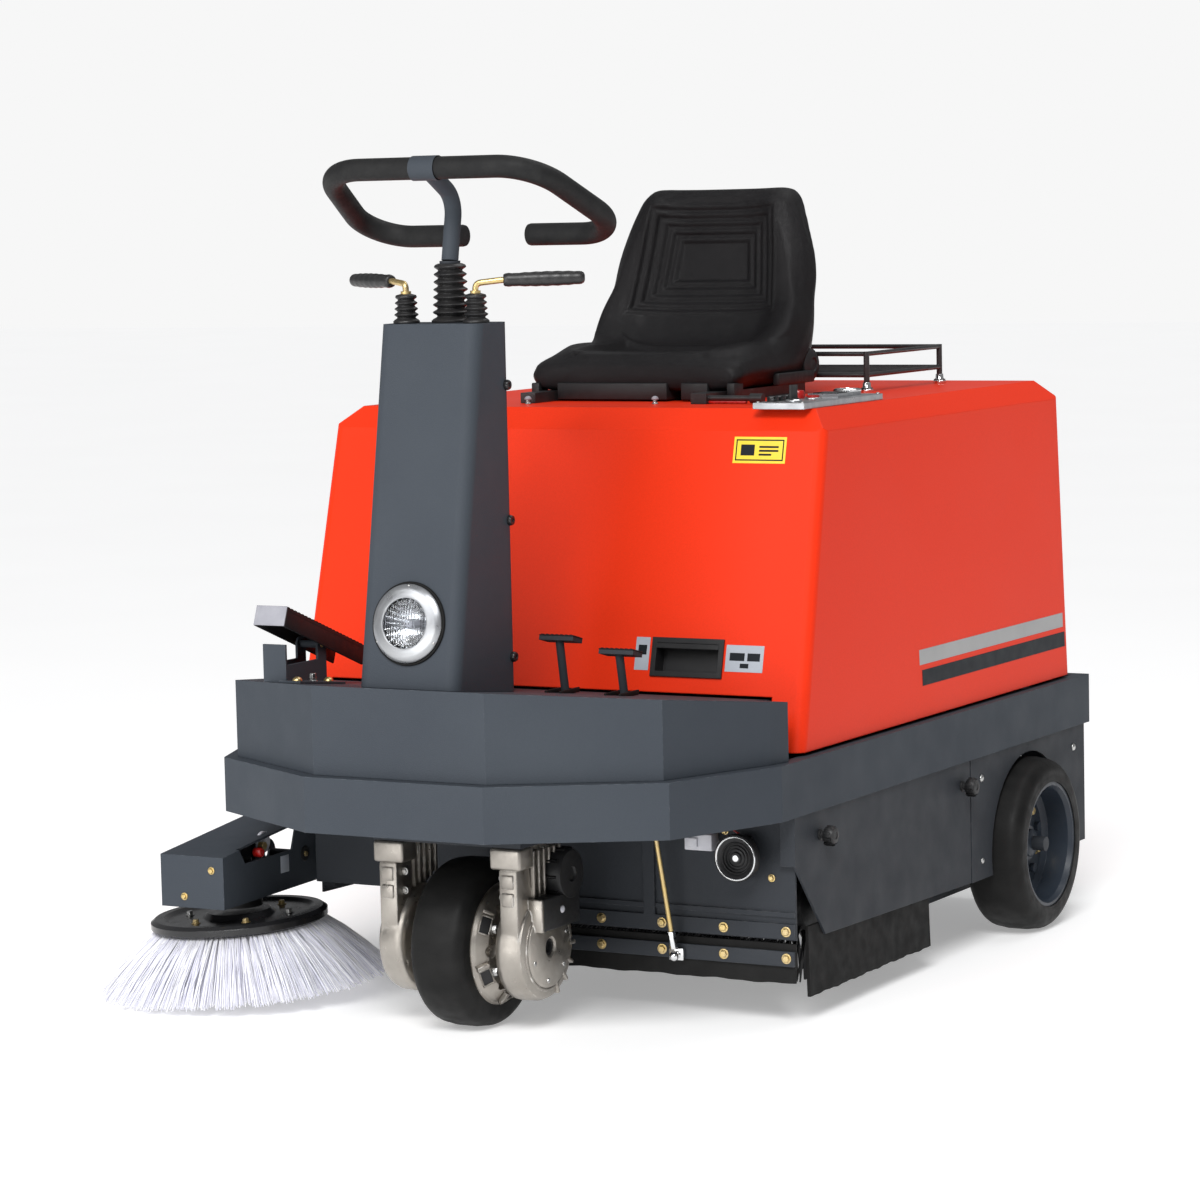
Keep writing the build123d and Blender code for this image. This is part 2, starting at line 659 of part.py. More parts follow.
def toe_pedal(x, pad_z):
    y, z = TOE_PIVOT
    pad_y = y - 25
    stem = rod((x, y, z), (x, pad_y, pad_z), 6.5) + rod_x(x - 18, x + 18, y, z, 11)
    pad = Pos(x, pad_y + 4, pad_z) * Rot(-14, 0, 0) * Box(60, 30, 7)
    return stem + pad - rod_x(x - 30, x + 30, y, z, 6.05)


def make_flap_pedal():
    y, z = TOE_PIVOT
    end = (FLAP_PEDAL_X + 2, ROD_HIGH.Y + 2, ROD_HIGH.Z + 14)
    crank = rod((FLAP_PEDAL_X + 2, y + 2, z - 8), end, 5)
    return toe_pedal(FLAP_PEDAL_X, 585) + crank


def make_lift_rod():
    return rod(ROD_LOW, ROD_HIGH, 4.5) + rod(ROD_HIGH - (ROD_HIGH - ROD_LOW) * 0.5, ROD_HIGH, 6.5)


def make_front_flap():
    rubber = box(-225, 470, 385.5, 390, 64, 129)
    strip = box(-225, 470, 380, 385.5, 94, 118)
    flap = rubber + strip + rod_x(-225, 470, FLAP_HINGE[0], FLAP_HINGE[1], 2.4)
    for i in range(7):
        x = 457 - 108.6 * i
        flap += rod((x, 375, 107), (x, 381, 107), 6)
    stud = Vector(268, 366, 100)
    return flap + rod(stud, (268, 382, 102), 4) + Pos(stud) * Sphere(8)


# ---- hood fittings ----
def make_rack():
    x, y0, y1, top = 280, 1076, 1375, HOOD_Z[2] + 0.3
    rack = None
    for z in (972, 1008):
        loop = rod((-x, y0, z), (x, y0, z), 4) + rod((-x, y1, z), (x, y1, z), 4)
        for side in (-1, 1):
            loop += rod((side * x, y0, z), (side * x, y1, z), 4)
            loop += Pos(side * x, y0, z) * Sphere(4) + Pos(side * x, y1, z) * Sphere(4)
        rack = loop if rack is None else rack + loop
    for side in (-1, 1):
        for y in (y0, y1):
            rack += rod_z(side * x, y, top, 1012, 5) + rod_z(side * x, y, top, top + 7, 10)
    for i in range(5):
        rack += rod((-x, 1120 + 50 * i, 972), (x, 1120 + 50 * i, 972), 3)
    return rack


def make_seat_rails():
    low = HOOD_Z[2] + 0.3
    rails = []
    for side in (-1, 1):
        rail = box(side * 160 - 14, side * 160 + 14, 690, 1055, low, 961)
        rails.append(rail)
    handle = rod((146, 702, 953), (250, 702, 953), 4.5) + rod((250, 702, 953), (272, 702, 953), 8)
    rails[1] = rails[1] + handle
    return Compound(children=rails)


def make_seat_cushion():
    block = box(-195, 195, 752, 1004, 962, 1032)
    upright = block.edges().filter_by(Axis.Z)
    block = fillet(upright, 34)
    return fillet(block.faces().sort_by(Axis.Z)[-1].edges(), 22)


def make_seat_backrest():
    side = [(1004.5, 962), (1004.5, 1030), (1036, 1110), (1086, 1304)]
    side += [(1142, 1304), (1098, 1110), (1064, 1020), (1062, 962)]
    block = prism_yz(side, -210, 210)
    front = [(-205, 962), (-205, 1080), (-148, 1304), (148, 1304), (205, 1080), (205, 962)]
    block &= prism_xz(front, 900, 1300)
    corners = [e for e in block.edges() if e.center().Z > 1290 and abs(e.center().X) > 100]
    return fillet(corners, 30)


PANEL = (325.0, 415.0, 560.0, 850.0)
KEY_AT = (372.0, 610.0)
BUTTON_AT = (372.0, 680.0)


def make_control_panel():
    x0, x1, y0, y1 = PANEL
    top = HOOD_Z[2] + 0.3
    plate = box(x0, x1, y0, y1, top, top + 10)
    plate += box(x0 + 18, x1 - 18, 720, 775, top + 9, top + 16)
    plate += rod_z(370, 812, top + 9, top + 15, 22)
    plate -= rod_z(*BUTTON_AT, top + 1, top + 20, 11)
    return plate - rod_z(*KEY_AT, top + 4, top + 20, 9.5)


def make_key_switch():
    top = HOOD_Z[2] + 0.3
    key = rod_z(*KEY_AT, top + 4.3, top + 15, 9)
    return key + box(KEY_AT[0] - 2, KEY_AT[0] + 2, KEY_AT[1] - 11, KEY_AT[1] + 11, top + 14, top + 36)


def make_push_button():
    top = HOOD_Z[2] + 0.3
    return rod_z(*BUTTON_AT, top + 5, top + 16, 10.4)


# ---- hopper and knobs ----
def make_hopper():
    outer = box(-350, 350, 965, 1530, 58, 322)
    bin_shape = outer - box(-344, 344, 955, 1524, 64, 330)
    bin_shape += box(-350, 350, 965, 971, 58, 110)
    handle = rod((-110, 1545, 250), (110, 1545, 250), 8)
    for side in (-1, 1):
        handle += rod((side * 104, 1528, 250), (side * 104, 1545, 250), 8)
    return bin_shape + handle


def knob(side, y):
    stem = rod_x(476.3, 488, y, 289, 6)
    shape = stem + rod_x(486, 504, y, 289, 15)
    return shape if side > 0 else mirror(shape, about=Plane.YZ)


def build():
    save("front_bumper", make_front_bumper())
    save("foot_deck", make_foot_deck())
    save("hood_shell", make_hood_shell())
    save("hood_handle", make_hood_handle())
    save("column_cover", make_column())
    save("headlight_bezel", make_headlight_bezel())
    save("headlight_lens", make_headlight_lens())
    save("main_frame", make_main_frame())
    save("front_bulkhead", make_front_bulkhead())
    save("side_panels", make_side_panels())
    save("side_skirts", make_side_skirts())
    save("rear_plates", make_rear_plates())
    save("machine_screws", make_machine_screws())
    save("horn", make_horn())
    save("battery_pack", make_battery_pack())
    save("fan_housing", make_fan_housing())
    save("fan_impeller", make_fan_impeller())
    save("brush_motor", make_brush_motor())
    save("motor_pulley", make_motor_pulley())
    save("drive_belt", make_drive_belt())
    save("main_brush_arms", make_brush_arms())
    save("main_brush_core", make_brush_core())
    save("main_brush_bristles", make_brush_bristles())
    save("fork_crown", make_fork_crown())
    save("fork_left", make_fork_left())
    save("fork_right", make_fork_right())
    save("drive_motor", make_drive_motor())
    save("front_tyre", make_front_tyre())
    save("front_hub", make_front_hub())
    save("handlebar_grip", make_handlebar())
    save("steering_stem", make_stem())
    save("rubber_boots", make_rubber_boots())
    for side, name in ((1, "left"), (-1, "right")):
        save(f"lever_{name}", lever(side))
        tyre, rim = rear_tyre(), rear_rim()
        if side < 0:
            tyre, rim = mirror(tyre, about=Plane.YZ), mirror(rim, about=Plane.YZ)
        save(f"rear_tyre_{name}", tyre)
        save(f"rear_rim_{name}", rim)
    save("side_brush_plate", make_side_plate())
    save("side_brush_bristles", make_side_bristles())
    save("side_brush_arm", make_side_arm())
    save("side_brush_motor", make_side_motor())
    save("pedal_bracket", make_pedal_bracket())
    save("drive_pedal", make_drive_pedal())
    save("brake_pedal", toe_pedal(BRAKE_X, 603))
    save("flap_pedal", make_flap_pedal())
    save("flap_lift_rod", make_lift_rod())
    save("front_flap", make_front_flap())
    save("rack", make_rack())
    save("seat_rails", make_seat_rails())
    save("seat_cushion", make_seat_cushion())
    save("seat_backrest", make_seat_backrest())
    save("control_panel", make_control_panel())
    save("key_switch", make_key_switch())
    save("push_button", make_push_button())
    save("hopper_bin", make_hopper())
    save("knob_left_front", knob(1, 465))
    save("knob_left_rear", knob(1, 1007))
    save("knob_right_front", knob(-1, 560))
    save("knob_right_rear", knob(-1, 1007))


build()
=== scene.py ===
import random
from math import cos, exp, pi, radians, sin, sqrt, tan

import bmesh
import bpy
from mathutils import Matrix, Vector


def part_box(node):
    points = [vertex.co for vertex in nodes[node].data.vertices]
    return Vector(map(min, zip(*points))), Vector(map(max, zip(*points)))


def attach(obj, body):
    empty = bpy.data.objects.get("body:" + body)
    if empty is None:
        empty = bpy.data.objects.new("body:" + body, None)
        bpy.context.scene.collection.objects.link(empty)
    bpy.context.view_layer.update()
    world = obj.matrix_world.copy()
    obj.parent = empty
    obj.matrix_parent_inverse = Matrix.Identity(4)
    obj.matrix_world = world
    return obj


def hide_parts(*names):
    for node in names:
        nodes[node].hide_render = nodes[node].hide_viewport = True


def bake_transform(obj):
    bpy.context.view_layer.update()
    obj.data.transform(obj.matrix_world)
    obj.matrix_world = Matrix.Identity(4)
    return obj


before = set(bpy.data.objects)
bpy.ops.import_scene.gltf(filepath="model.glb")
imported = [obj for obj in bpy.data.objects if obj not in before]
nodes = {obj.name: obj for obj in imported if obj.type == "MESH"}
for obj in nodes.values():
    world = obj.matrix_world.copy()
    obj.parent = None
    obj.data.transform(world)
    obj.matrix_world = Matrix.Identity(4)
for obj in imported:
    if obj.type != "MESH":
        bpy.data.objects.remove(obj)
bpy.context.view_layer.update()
scene = bpy.context.scene
MM = 0.001
X, Y, Z = (1, 0, 0), (0, 1, 0), (0, 0, 1)

# The machine's own frame: X = 0 on the column's middle, Y = 0 on the platform's front face.
column_low, column_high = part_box("column_cover")
MACHINE = Vector(((column_low.x + column_high.x) / 2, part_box("foot_deck")[0].y, 0.0))


def at(x, y, z):
    """A point given in the machine's millimetres, in the row frame's metres."""
    return MACHINE + Vector((x, y, z)) * MM


def span(node):
    """A CAD node's lowest and highest corners in the machine's millimetres."""
    low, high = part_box(node)
    return (low - MACHINE) / MM, (high - MACHINE) / MM


def placed(name, data, place=None):
    """A new object in the scene."""
    made = bpy.data.objects.new(name, data)
    if place:
        made.matrix_world = place
    scene.collection.objects.link(made)
    return made


def smooth(low, high, value):
    t = min(max((value - low) / (high - low), 0.0), 1.0)
    return t * t * (3 - 2 * t)


# ---- materials ----
class Shader:
    """A procedural material: noise for colour and roughness, fine bump, and softened edges."""

    def __init__(self, name):
        self.material = bpy.data.materials.new(name)
        self.material.use_nodes = True
        self.tree = self.material.node_tree
        self.bsdf = self.tree.nodes["Principled BSDF"]
        self.place = self.node("ShaderNodeTexCoord").outputs["Object"]

    def node(self, kind, **values):
        made = self.tree.nodes.new(kind)
        for key, value in values.items():
            setattr(made, key, value)
        return made

    def link(self, start, end):
        self.tree.links.new(start, end)

    def noise(self, scale, detail=3.0, stretch=None):
        made = self.node("ShaderNodeTexNoise")
        made.inputs["Scale"].default_value = scale
        made.inputs["Detail"].default_value = detail
        place = self.place
        if stretch:
            mapping = self.node("ShaderNodeMapping")
            mapping.inputs["Scale"].default_value = stretch
            self.link(place, mapping.inputs["Vector"])
            place = mapping.outputs["Vector"]
        self.link(place, made.inputs["Vector"])
        return made.outputs["Fac"]

    def spread(self, value, low, high, to_low=0.0, to_high=1.0):
        made = self.node("ShaderNodeMapRange")
        for key, number in zip(("From Min", "From Max", "To Min", "To Max"), (low, high, to_low, to_high)):
            made.inputs[key].default_value = number
        self.link(value, made.inputs["Value"])
        return made.outputs["Result"]

    def mix(self, factor, first, second):
        made = self.node("ShaderNodeMix", data_type="RGBA")
        self.link(factor, made.inputs["Factor"])
        for socket, value in ((made.inputs[6], first), (made.inputs[7], second)):
            if isinstance(value, bpy.types.NodeSocket):
                self.link(value, socket)
            else:
                socket.default_value = (*value, 1.0)
        return made.outputs[2]

    def math(self, operation, first, second):
        made = self.node("ShaderNodeMath", operation=operation)
        for socket, value in zip(made.inputs, (first, second)):
            if isinstance(value, bpy.types.NodeSocket):
                self.link(value, socket)
            else:
                socket.default_value = value
        return made.outputs[0]

    def soft_edges(self, radius):
        made = self.node("ShaderNodeBevel", samples=4)
        made.inputs["Radius"].default_value = radius
        return made.outputs["Normal"]

    def edge_mask(self, normal):
        """1 where the softened normal turns away from the flat one: along edges."""
        dot = self.node("ShaderNodeVectorMath", operation="DOT_PRODUCT")
        self.link(normal, dot.inputs[0])
        self.link(self.node("ShaderNodeNewGeometry").outputs["Normal"], dot.inputs[1])
        return self.spread(dot.outputs["Value"], 0.995, 0.9)

    def bump(self, height, distance, normal=None, strength=1.0):
        made = self.node("ShaderNodeBump")
        made.inputs["Strength"].default_value = strength
        made.inputs["Distance"].default_value = distance
        self.link(height, made.inputs["Height"])
        if normal:
            self.link(normal, made.inputs["Normal"])
        return made.outputs["Normal"]

    def set(self, **values):
        for key, value in values.items():
            self.bsdf.inputs[key.replace("_", " ")].default_value = value


def surface(name, slot, colour, second, rough, metal=0.0, mottle=6.0, grain=(900.0, 0.00005), edge=0.0015,
            worn=None, stretch=None, detail=4.0, **constants):
    """The usual finish: two colours in soft patches, uneven roughness, fine grain, soft and worn edges.

    slot, the frame's name for the finish of the pieces made with it, is not used."""
    made = Shader(name)
    patches = made.noise(mottle, detail, stretch)
    base = made.mix(made.spread(patches, 0.35, 0.65), colour, second)
    specks = made.noise(grain[0], 2.0)
    base = made.mix(made.spread(specks, 0.3, 0.75, 0.0, 0.25), base, [c * 0.72 for c in colour])
    normal = made.soft_edges(edge)
    if worn:
        scuffs = made.spread(made.noise(70.0, 5.0), 0.5, 0.62)
        base = made.mix(made.math("MULTIPLY", made.edge_mask(normal), scuffs), base, worn)
    made.link(base, made.bsdf.inputs["Base Color"])
    uneven = made.spread(made.noise(mottle * 5, 5.0), 0.3, 0.7, rough[0], rough[1])
    made.link(uneven, made.bsdf.inputs["Roughness"])
    made.link(made.bump(specks, grain[1], normal), made.bsdf.inputs["Normal"])
    made.set(Metallic=metal, **constants)
    return made.material


body_grey = surface("body_grey_paint", "body_grey", (0.052, 0.061, 0.073), (0.046, 0.054, 0.066),
                    (0.52, 0.66), grain=(520.0, 0.00030), worn=(0.12, 0.13, 0.145), mottle=3.0,
                    Specular_IOR_Level=0.15)
chassis_grey = surface("chassis_grey_paint", "chassis_grey", (0.036, 0.040, 0.047), (0.033, 0.037, 0.0435),
                       (0.50, 0.65), grain=(520.0, 0.00024), worn=(0.09, 0.09, 0.095), mottle=4.0,
                       Specular_IOR_Level=0.18)
hood_red = surface("hood_red_paint", None, (0.83, 0.040, 0.010), (0.79, 0.034, 0.008), (0.36, 0.40),
                   mottle=1.2, grain=(380.0, 0.00003), edge=0.003, detail=2.0, Specular_IOR_Level=0.1)
black_plastic = surface("black_moulded_plastic", "black_plastic", (0.012, 0.012, 0.013),
                        (0.018, 0.018, 0.019), (0.38, 0.55), grain=(1100.0, 0.00008), mottle=20.0,
                        Specular_IOR_Level=0.35)
black_gloss = surface("black_gloss_plastic", "black_plastic", (0.010, 0.010, 0.011), (0.016, 0.016, 0.017),
                      (0.16, 0.28), grain=(900.0, 0.00002), mottle=12.0)
black_paint = surface("black_wire_paint", None, (0.018, 0.018, 0.019), (0.030, 0.030, 0.031), (0.28, 0.42),
                      mottle=30.0)
rubber = surface("black_rubber", "black_rubber", (0.0095, 0.0095, 0.0095), (0.0125, 0.0122, 0.012),
                 (0.55, 0.75), mottle=8.0, grain=(700.0, 0.00010), Specular_IOR_Level=0.15)
boot_rubber = surface("bellows_rubber", "black_rubber", (0.012, 0.012, 0.013), (0.022, 0.021, 0.021),
                      (0.32, 0.48), mottle=25.0)
tyre_rubber = surface("tyre_rubber", "tyre_black", (0.0085, 0.0085, 0.0085), (0.014, 0.0138, 0.0135),
                      (0.42, 0.62), mottle=9.0, grain=(420.0, 0.00012), stretch=(1.0, 3.0, 3.0),
                      Specular_IOR_Level=0.14)
cast_alloy = surface("cast_alloy", "cast_alloy", (0.44, 0.41, 0.37), (0.31, 0.285, 0.255), (0.26, 0.48),
                     metal=0.9, mottle=14.0, grain=(650.0, 0.00030), edge=0.0025, worn=(0.80, 0.78, 0.74))
rim_blue = surface("rim_blue_paint", "rim_blue", (0.026, 0.034, 0.047), (0.021, 0.028, 0.039), (0.32, 0.46),
                   mottle=10.0, worn=(0.08, 0.09, 0.105), Coat_Weight=0.12, Coat_Roughness=0.25,
                   Specular_IOR_Level=0.3)
steel = surface("machined_steel", "steel", (0.55, 0.55, 0.54), (0.44, 0.44, 0.43), (0.25, 0.40), metal=1.0,
                mottle=30.0)
brass_zinc = surface("yellow_zinc", "zinc_yellow", (0.74, 0.55, 0.22), (0.60, 0.47, 0.26), (0.26, 0.42),
                     metal=0.9, mottle=60.0)
chrome = surface("polished_chrome", "chrome", (0.82, 0.82, 0.82), (0.72, 0.73, 0.74), (0.06, 0.14), metal=1.0,
                 mottle=20.0, grain=(900.0, 0.00001))
silver_plate = surface("silver_plate", "chrome", (0.44, 0.45, 0.46), (0.36, 0.37, 0.39), (0.25, 0.40),
                       metal=0.8, mottle=10.0, stretch=(1.0, 14.0, 1.0))
label_grey = surface("label_grey_film", "silver_panel", (0.42, 0.45, 0.50), (0.38, 0.41, 0.46), (0.30, 0.42),
                     mottle=30.0, edge=0.0003)
label_silver = surface("stripe_silver_film", "silver_panel", (0.37, 0.37, 0.37), (0.33, 0.33, 0.33),
                       (0.28, 0.38), mottle=8.0, edge=0.0003)
label_black = surface("stripe_black_film", "black_plastic", (0.008, 0.011, 0.015), (0.011, 0.014, 0.018),
                      (0.40, 0.50), mottle=8.0, edge=0.0003, Specular_IOR_Level=0.15)
label_yellow = surface("label_yellow_film", "silver_panel", (0.86, 0.62, 0.02), (0.80, 0.56, 0.02),
                       (0.30, 0.42), mottle=40.0, edge=0.0003)
red_plastic = surface("red_plastic", "red_plastic", (0.45, 0.012, 0.010), (0.34, 0.010, 0.008), (0.22, 0.34),
                      mottle=40.0)
white_plastic = surface("white_plastic", "bristle_white", (0.62, 0.62, 0.66), (0.55, 0.55, 0.60), (0.35, 0.5),
                        mottle=40.0)
pale_end = surface("pale_end_cap", "silver_panel", (0.33, 0.33, 0.365), (0.27, 0.27, 0.305), (0.45, 0.6),
                   mottle=35.0)
foam = surface("foam_grip", "foam_black", (0.011, 0.011, 0.0115), (0.017, 0.017, 0.017), (0.50, 0.66),
               mottle=45.0, grain=(1500.0, 0.00022), Specular_IOR_Level=0.22)


def vinyl_material():
    """Black vinyl with a fine leather grain of cells and creases."""
    made = Shader("seat_vinyl")
    patches = made.noise(5.0, 4.0)
    base = made.mix(made.spread(patches, 0.35, 0.65), (0.0070, 0.0065, 0.0072), (0.0105, 0.0098, 0.0106))
    made.link(base, made.bsdf.inputs["Base Color"])
    cells = made.node("ShaderNodeTexVoronoi", feature="DISTANCE_TO_EDGE")
    cells.inputs["Scale"].default_value = 520.0
    made.link(made.place, cells.inputs["Vector"])
    creases = made.spread(cells.outputs["Distance"], 0.0, 0.18)
    height = made.math("ADD", creases, made.noise(60.0, 3.0))
    made.link(made.bump(height, 0.00022), made.bsdf.inputs["Normal"])
    made.link(made.spread(made.noise(24.0, 5.0), 0.3, 0.7, 0.30, 0.44), made.bsdf.inputs["Roughness"])
    made.set(Specular_IOR_Level=0.16)
    return made.material


def bristle_material(name, colour, second, painted_glow=0.0):
    """Nylon filaments, each of its own shade."""
    made = Shader(name)
    island = made.node("ShaderNodeNewGeometry").outputs["Random Per Island"]
    base = made.mix(island, colour, second)
    made.link(made.mix(made.spread(made.noise(45.0, 3.0), 0.4, 0.7, 0.0, 0.2), base, second),
              made.bsdf.inputs["Base Color"])
    made.link(made.spread(island, 0.0, 1.0, 0.34, 0.5), made.bsdf.inputs["Roughness"])
    made.link(made.bump(made.noise(900.0, 2.0), 0.00005), made.bsdf.inputs["Normal"])
    # The emission is painted light: it brightens the filaments, which are no lamp.
    made.set(Emission_Color=(1.0, 1.0, 1.0, 1.0), Emission_Strength=painted_glow)
    return made.material


def lamp_glass_material():
    """Pressed glass with fine vertical flutes."""
    made = Shader("lamp_glass")
    made.set(Base_Color=(0.95, 0.97, 1.0, 1.0), Transmission_Weight=1.0, IOR=1.45)
    flutes = made.node("ShaderNodeTexWave", bands_direction="X")
    flutes.inputs["Scale"].default_value = 70.0
    made.link(made.place, flutes.inputs["Vector"])
    made.link(made.spread(made.noise(30.0, 3.0), 0.3, 0.7, 0.02, 0.08), made.bsdf.inputs["Roughness"])
    made.link(made.bump(flutes.outputs["Fac"], 0.0004), made.bsdf.inputs["Normal"])
    return made.material


seat_vinyl = vinyl_material()
# White bristles with an emission of 0.05, painted light that brightens them.
white_bristle = bristle_material("white_bristle", (0.95, 0.95, 0.97), (0.66, 0.66, 0.78), 0.05)
black_bristle = bristle_material("black_bristle", (0.030, 0.030, 0.032), (0.012, 0.012, 0.013))
lamp_glass = lamp_glass_material()


# ---- shapes ----
def towards(axis):
    return Vector(axis).to_track_quat("Z", "Y").to_matrix().to_4x4()


def around(count, phase=0.0):
    """Angles in equal steps round a circle, from a phase in degrees."""
    return [radians(360 / count * i + phase) for i in range(count)]


def on_circle(centre, radius, angle, x=0):
    """A point on a circle about the X axis, x further along it than the centre."""
    return Vector((centre[0] + x, centre[1] + radius * cos(angle), centre[2] + radius * sin(angle)))


def bend(points, radius, steps=6):
    """A polyline of rods with each corner rounded to the radius."""
    points = [Vector(p) for p in points]
    path = [points[0]]
    for before, corner, after in zip(points, points[1:], points[2:]):
        to_before, to_after = (before - corner).normalized(), (after - corner).normalized()
        half = to_before.angle(to_after) / 2
        reach = min(radius / tan(half), (before - corner).length * 0.49, (after - corner).length * 0.49)
        start, end = corner + to_before * reach, corner + to_after * reach
        for i in range(steps + 1):
            t = i / steps
            path.append(start * (1 - t) ** 2 + corner * 2 * t * (1 - t) + end * t * t)
    return path + [points[-1]]


class Shape:
    """Closed solids gathered into one mesh, in the machine's millimetres."""

    def __init__(self):
        self.bm = bmesh.new()

    def block(self, low, high, edge=1.0, turn=None, segments=2):
        low, high = Vector(low), Vector(high)
        made = bmesh.ops.create_cube(self.bm, size=1.0)["verts"]
        centre, size = (low + high) / 2, high - low
        for vert in made:
            vert.co = centre + Vector(a * b for a, b in zip(vert.co, size))
            if turn:
                vert.co = turn @ vert.co
        edges = list({e for v in made for e in v.link_edges})
        if edge:
            bmesh.ops.bevel(self.bm, geom=edges, offset=edge, segments=segments, affect="EDGES", profile=0.5)
        return self

    def lathe(self, profile, centre, axis, steps=64):
        """Turn (radius, height) points about an axis through centre."""
        place = Matrix.Translation(Vector(centre)) @ towards(axis)
        rings = []
        for radius, height in profile:
            count = 1 if radius < 0.01 else steps
            ring = []
            for i in range(count):
                angle = 2 * pi * i / steps
                spot = Vector((radius * cos(angle), radius * sin(angle), height))
                ring.append(self.bm.verts.new(place @ spot))
            rings.append(ring)
        for first, second in zip(rings, rings[1:] + rings[:1]):
            if len(first) == 1 and len(second) == 1:
                continue
            for i in range(steps):
                j = (i + 1) % steps
                corners = [first[i % len(first)], first[j % len(first)]]
                corners += [second[j % len(second)], second[i % len(second)]]
                unique = list(dict.fromkeys(corners))
                if len(unique) > 2:
                    self.bm.faces.new(unique)
        return self

    def disc(self, radius, height, centre, axis, steps=24):
        return self.lathe([(0, 0), (radius, 0), (radius, height), (0, height)], centre, axis, steps)

    def collar(self, inner, outer, height, centre, axis, steps):
        return self.lathe([(inner, 0), (outer, 0), (outer, height), (inner, height)], centre, axis, steps)

    def bolt(self, centre, axis, radius, height=None):
        """A washer and a bevelled hexagon head, standing on a face."""
        height = height or radius * 0.75
        self.disc(radius * 1.35, radius * 0.16, centre, axis)
        head = [(0, 0), (radius, 0), (radius, height * 0.8), (radius * 0.82, height), (0, height)]
        return self.lathe(head, centre, axis, 6)

    def dome(self, centre, axis, radius, height):
        arc = [(radius * cos(a), height * sin(a)) for a in (i * pi / 12 for i in range(6))]
        return self.lathe([(0, -0.5), (radius, -0.5)] + arc + [(0, height)], centre, axis, 24)

    def tube(self, path, radius, sides=14):
        path = [Vector(p) for p in path]
        normal = (path[1] - path[0]).orthogonal().normalized()
        rings = []
        for i, point in enumerate(path):
            along = (path[min(i + 1, len(path) - 1)] - path[max(i - 1, 0)]).normalized()
            normal = (normal - along * normal.dot(along)).normalized()
            side = along.cross(normal)
            ring = []
            for k in range(sides):
                angle = 2 * pi * k / sides
                ring.append(self.bm.verts.new(point + (normal * cos(angle) + side * sin(angle)) * radius))
            rings.append(ring)
        for first, second in zip(rings, rings[1:]):
            for k in range(sides):
                m = (k + 1) % sides
                self.bm.faces.new((first[k], first[m], second[m], second[k]))
        self.bm.faces.new(rings[0][::-1])
        self.bm.faces.new(rings[-1])
        return self

    def prism(self, outline, start, run, edge=0.0, segments=2):
        """Extrude an outline of 3-D points along run, from the outline moved by start."""
        start, run = Vector(start), Vector(run)
        first = [self.bm.verts.new(Vector(p) + start) for p in outline]
        second = [self.bm.verts.new(Vector(p) + start + run) for p in outline]
        count = len(outline)
        faces = [self.bm.faces.new(first[::-1]), self.bm.faces.new(second)]
        for i in range(count):
            j = (i + 1) % count
            faces.append(self.bm.faces.new((first[i], first[j], second[j], second[i])))
        if edge:
            edges = list({e for f in faces for e in f.edges})
            bmesh.ops.bevel(self.bm, geom=edges, offset=edge, segments=segments, affect="EDGES", profile=0.5)
        return self

    def mirrored(self):
        for vert in self.bm.verts:
            vert.co.x = -vert.co.x
        return self

    def make(self, name, material, body, *replaced, slot=None, sharp=38.0):
        """Turn the solids into a piece that rides on a body and stands in for the replaced CAD nodes."""
        bmesh.ops.recalc_face_normals(self.bm, faces=self.bm.faces)
        mesh = bpy.data.meshes.new(name)
        for vert in self.bm.verts:
            vert.co = at(*vert.co)
        self.bm.to_mesh(mesh)
        self.bm.free()
        mesh.shade_smooth()
        mesh.set_sharp_from_angle(angle=radians(sharp))
        mesh.materials.append(material)
        made = placed(name, mesh)
        if body:
            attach(made, body)
        if replaced:
            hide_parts(*replaced)
        return made


def turned(name, material, body, profile, centre, axis, steps):
    """A piece that is one turned solid."""
    Shape().lathe(profile, centre, axis, steps).make(name, material, body)


# ---- camera, light and floor ----
def make_camera():
    azimuth, elevation, roll = radians(29.22), radians(5.74), radians(-1.3)
    distance, lens, sensor = 6.4675, 119.01, 36.0
    target = at(18.9, 600.0, 628.6)
    back = Vector((sin(azimuth) * cos(elevation), -cos(azimuth) * cos(elevation),
                   sin(elevation)))
    right = (-back).cross(Vector((0, 0, 1))).normalized()
    up = right.cross(-back)
    across = right * cos(roll) + up * sin(roll)
    upward = up * cos(roll) - right * sin(roll)
    data = bpy.data.cameras.new("camera")
    data.lens, data.sensor_width = lens, sensor
    turn = Matrix((across, upward, back)).transposed().to_4x4()
    scene.camera = placed("camera", data, Matrix.Translation(target + back * distance) @ turn)


def area_light(name, spot, aim, size, power):
    data = bpy.data.lights.new(name, "AREA")
    data.shape, data.size, data.size_y = "RECTANGLE", size[0], size[1]
    data.energy = power
    placed(name, data, Matrix.Translation(spot) @ towards(spot - aim))


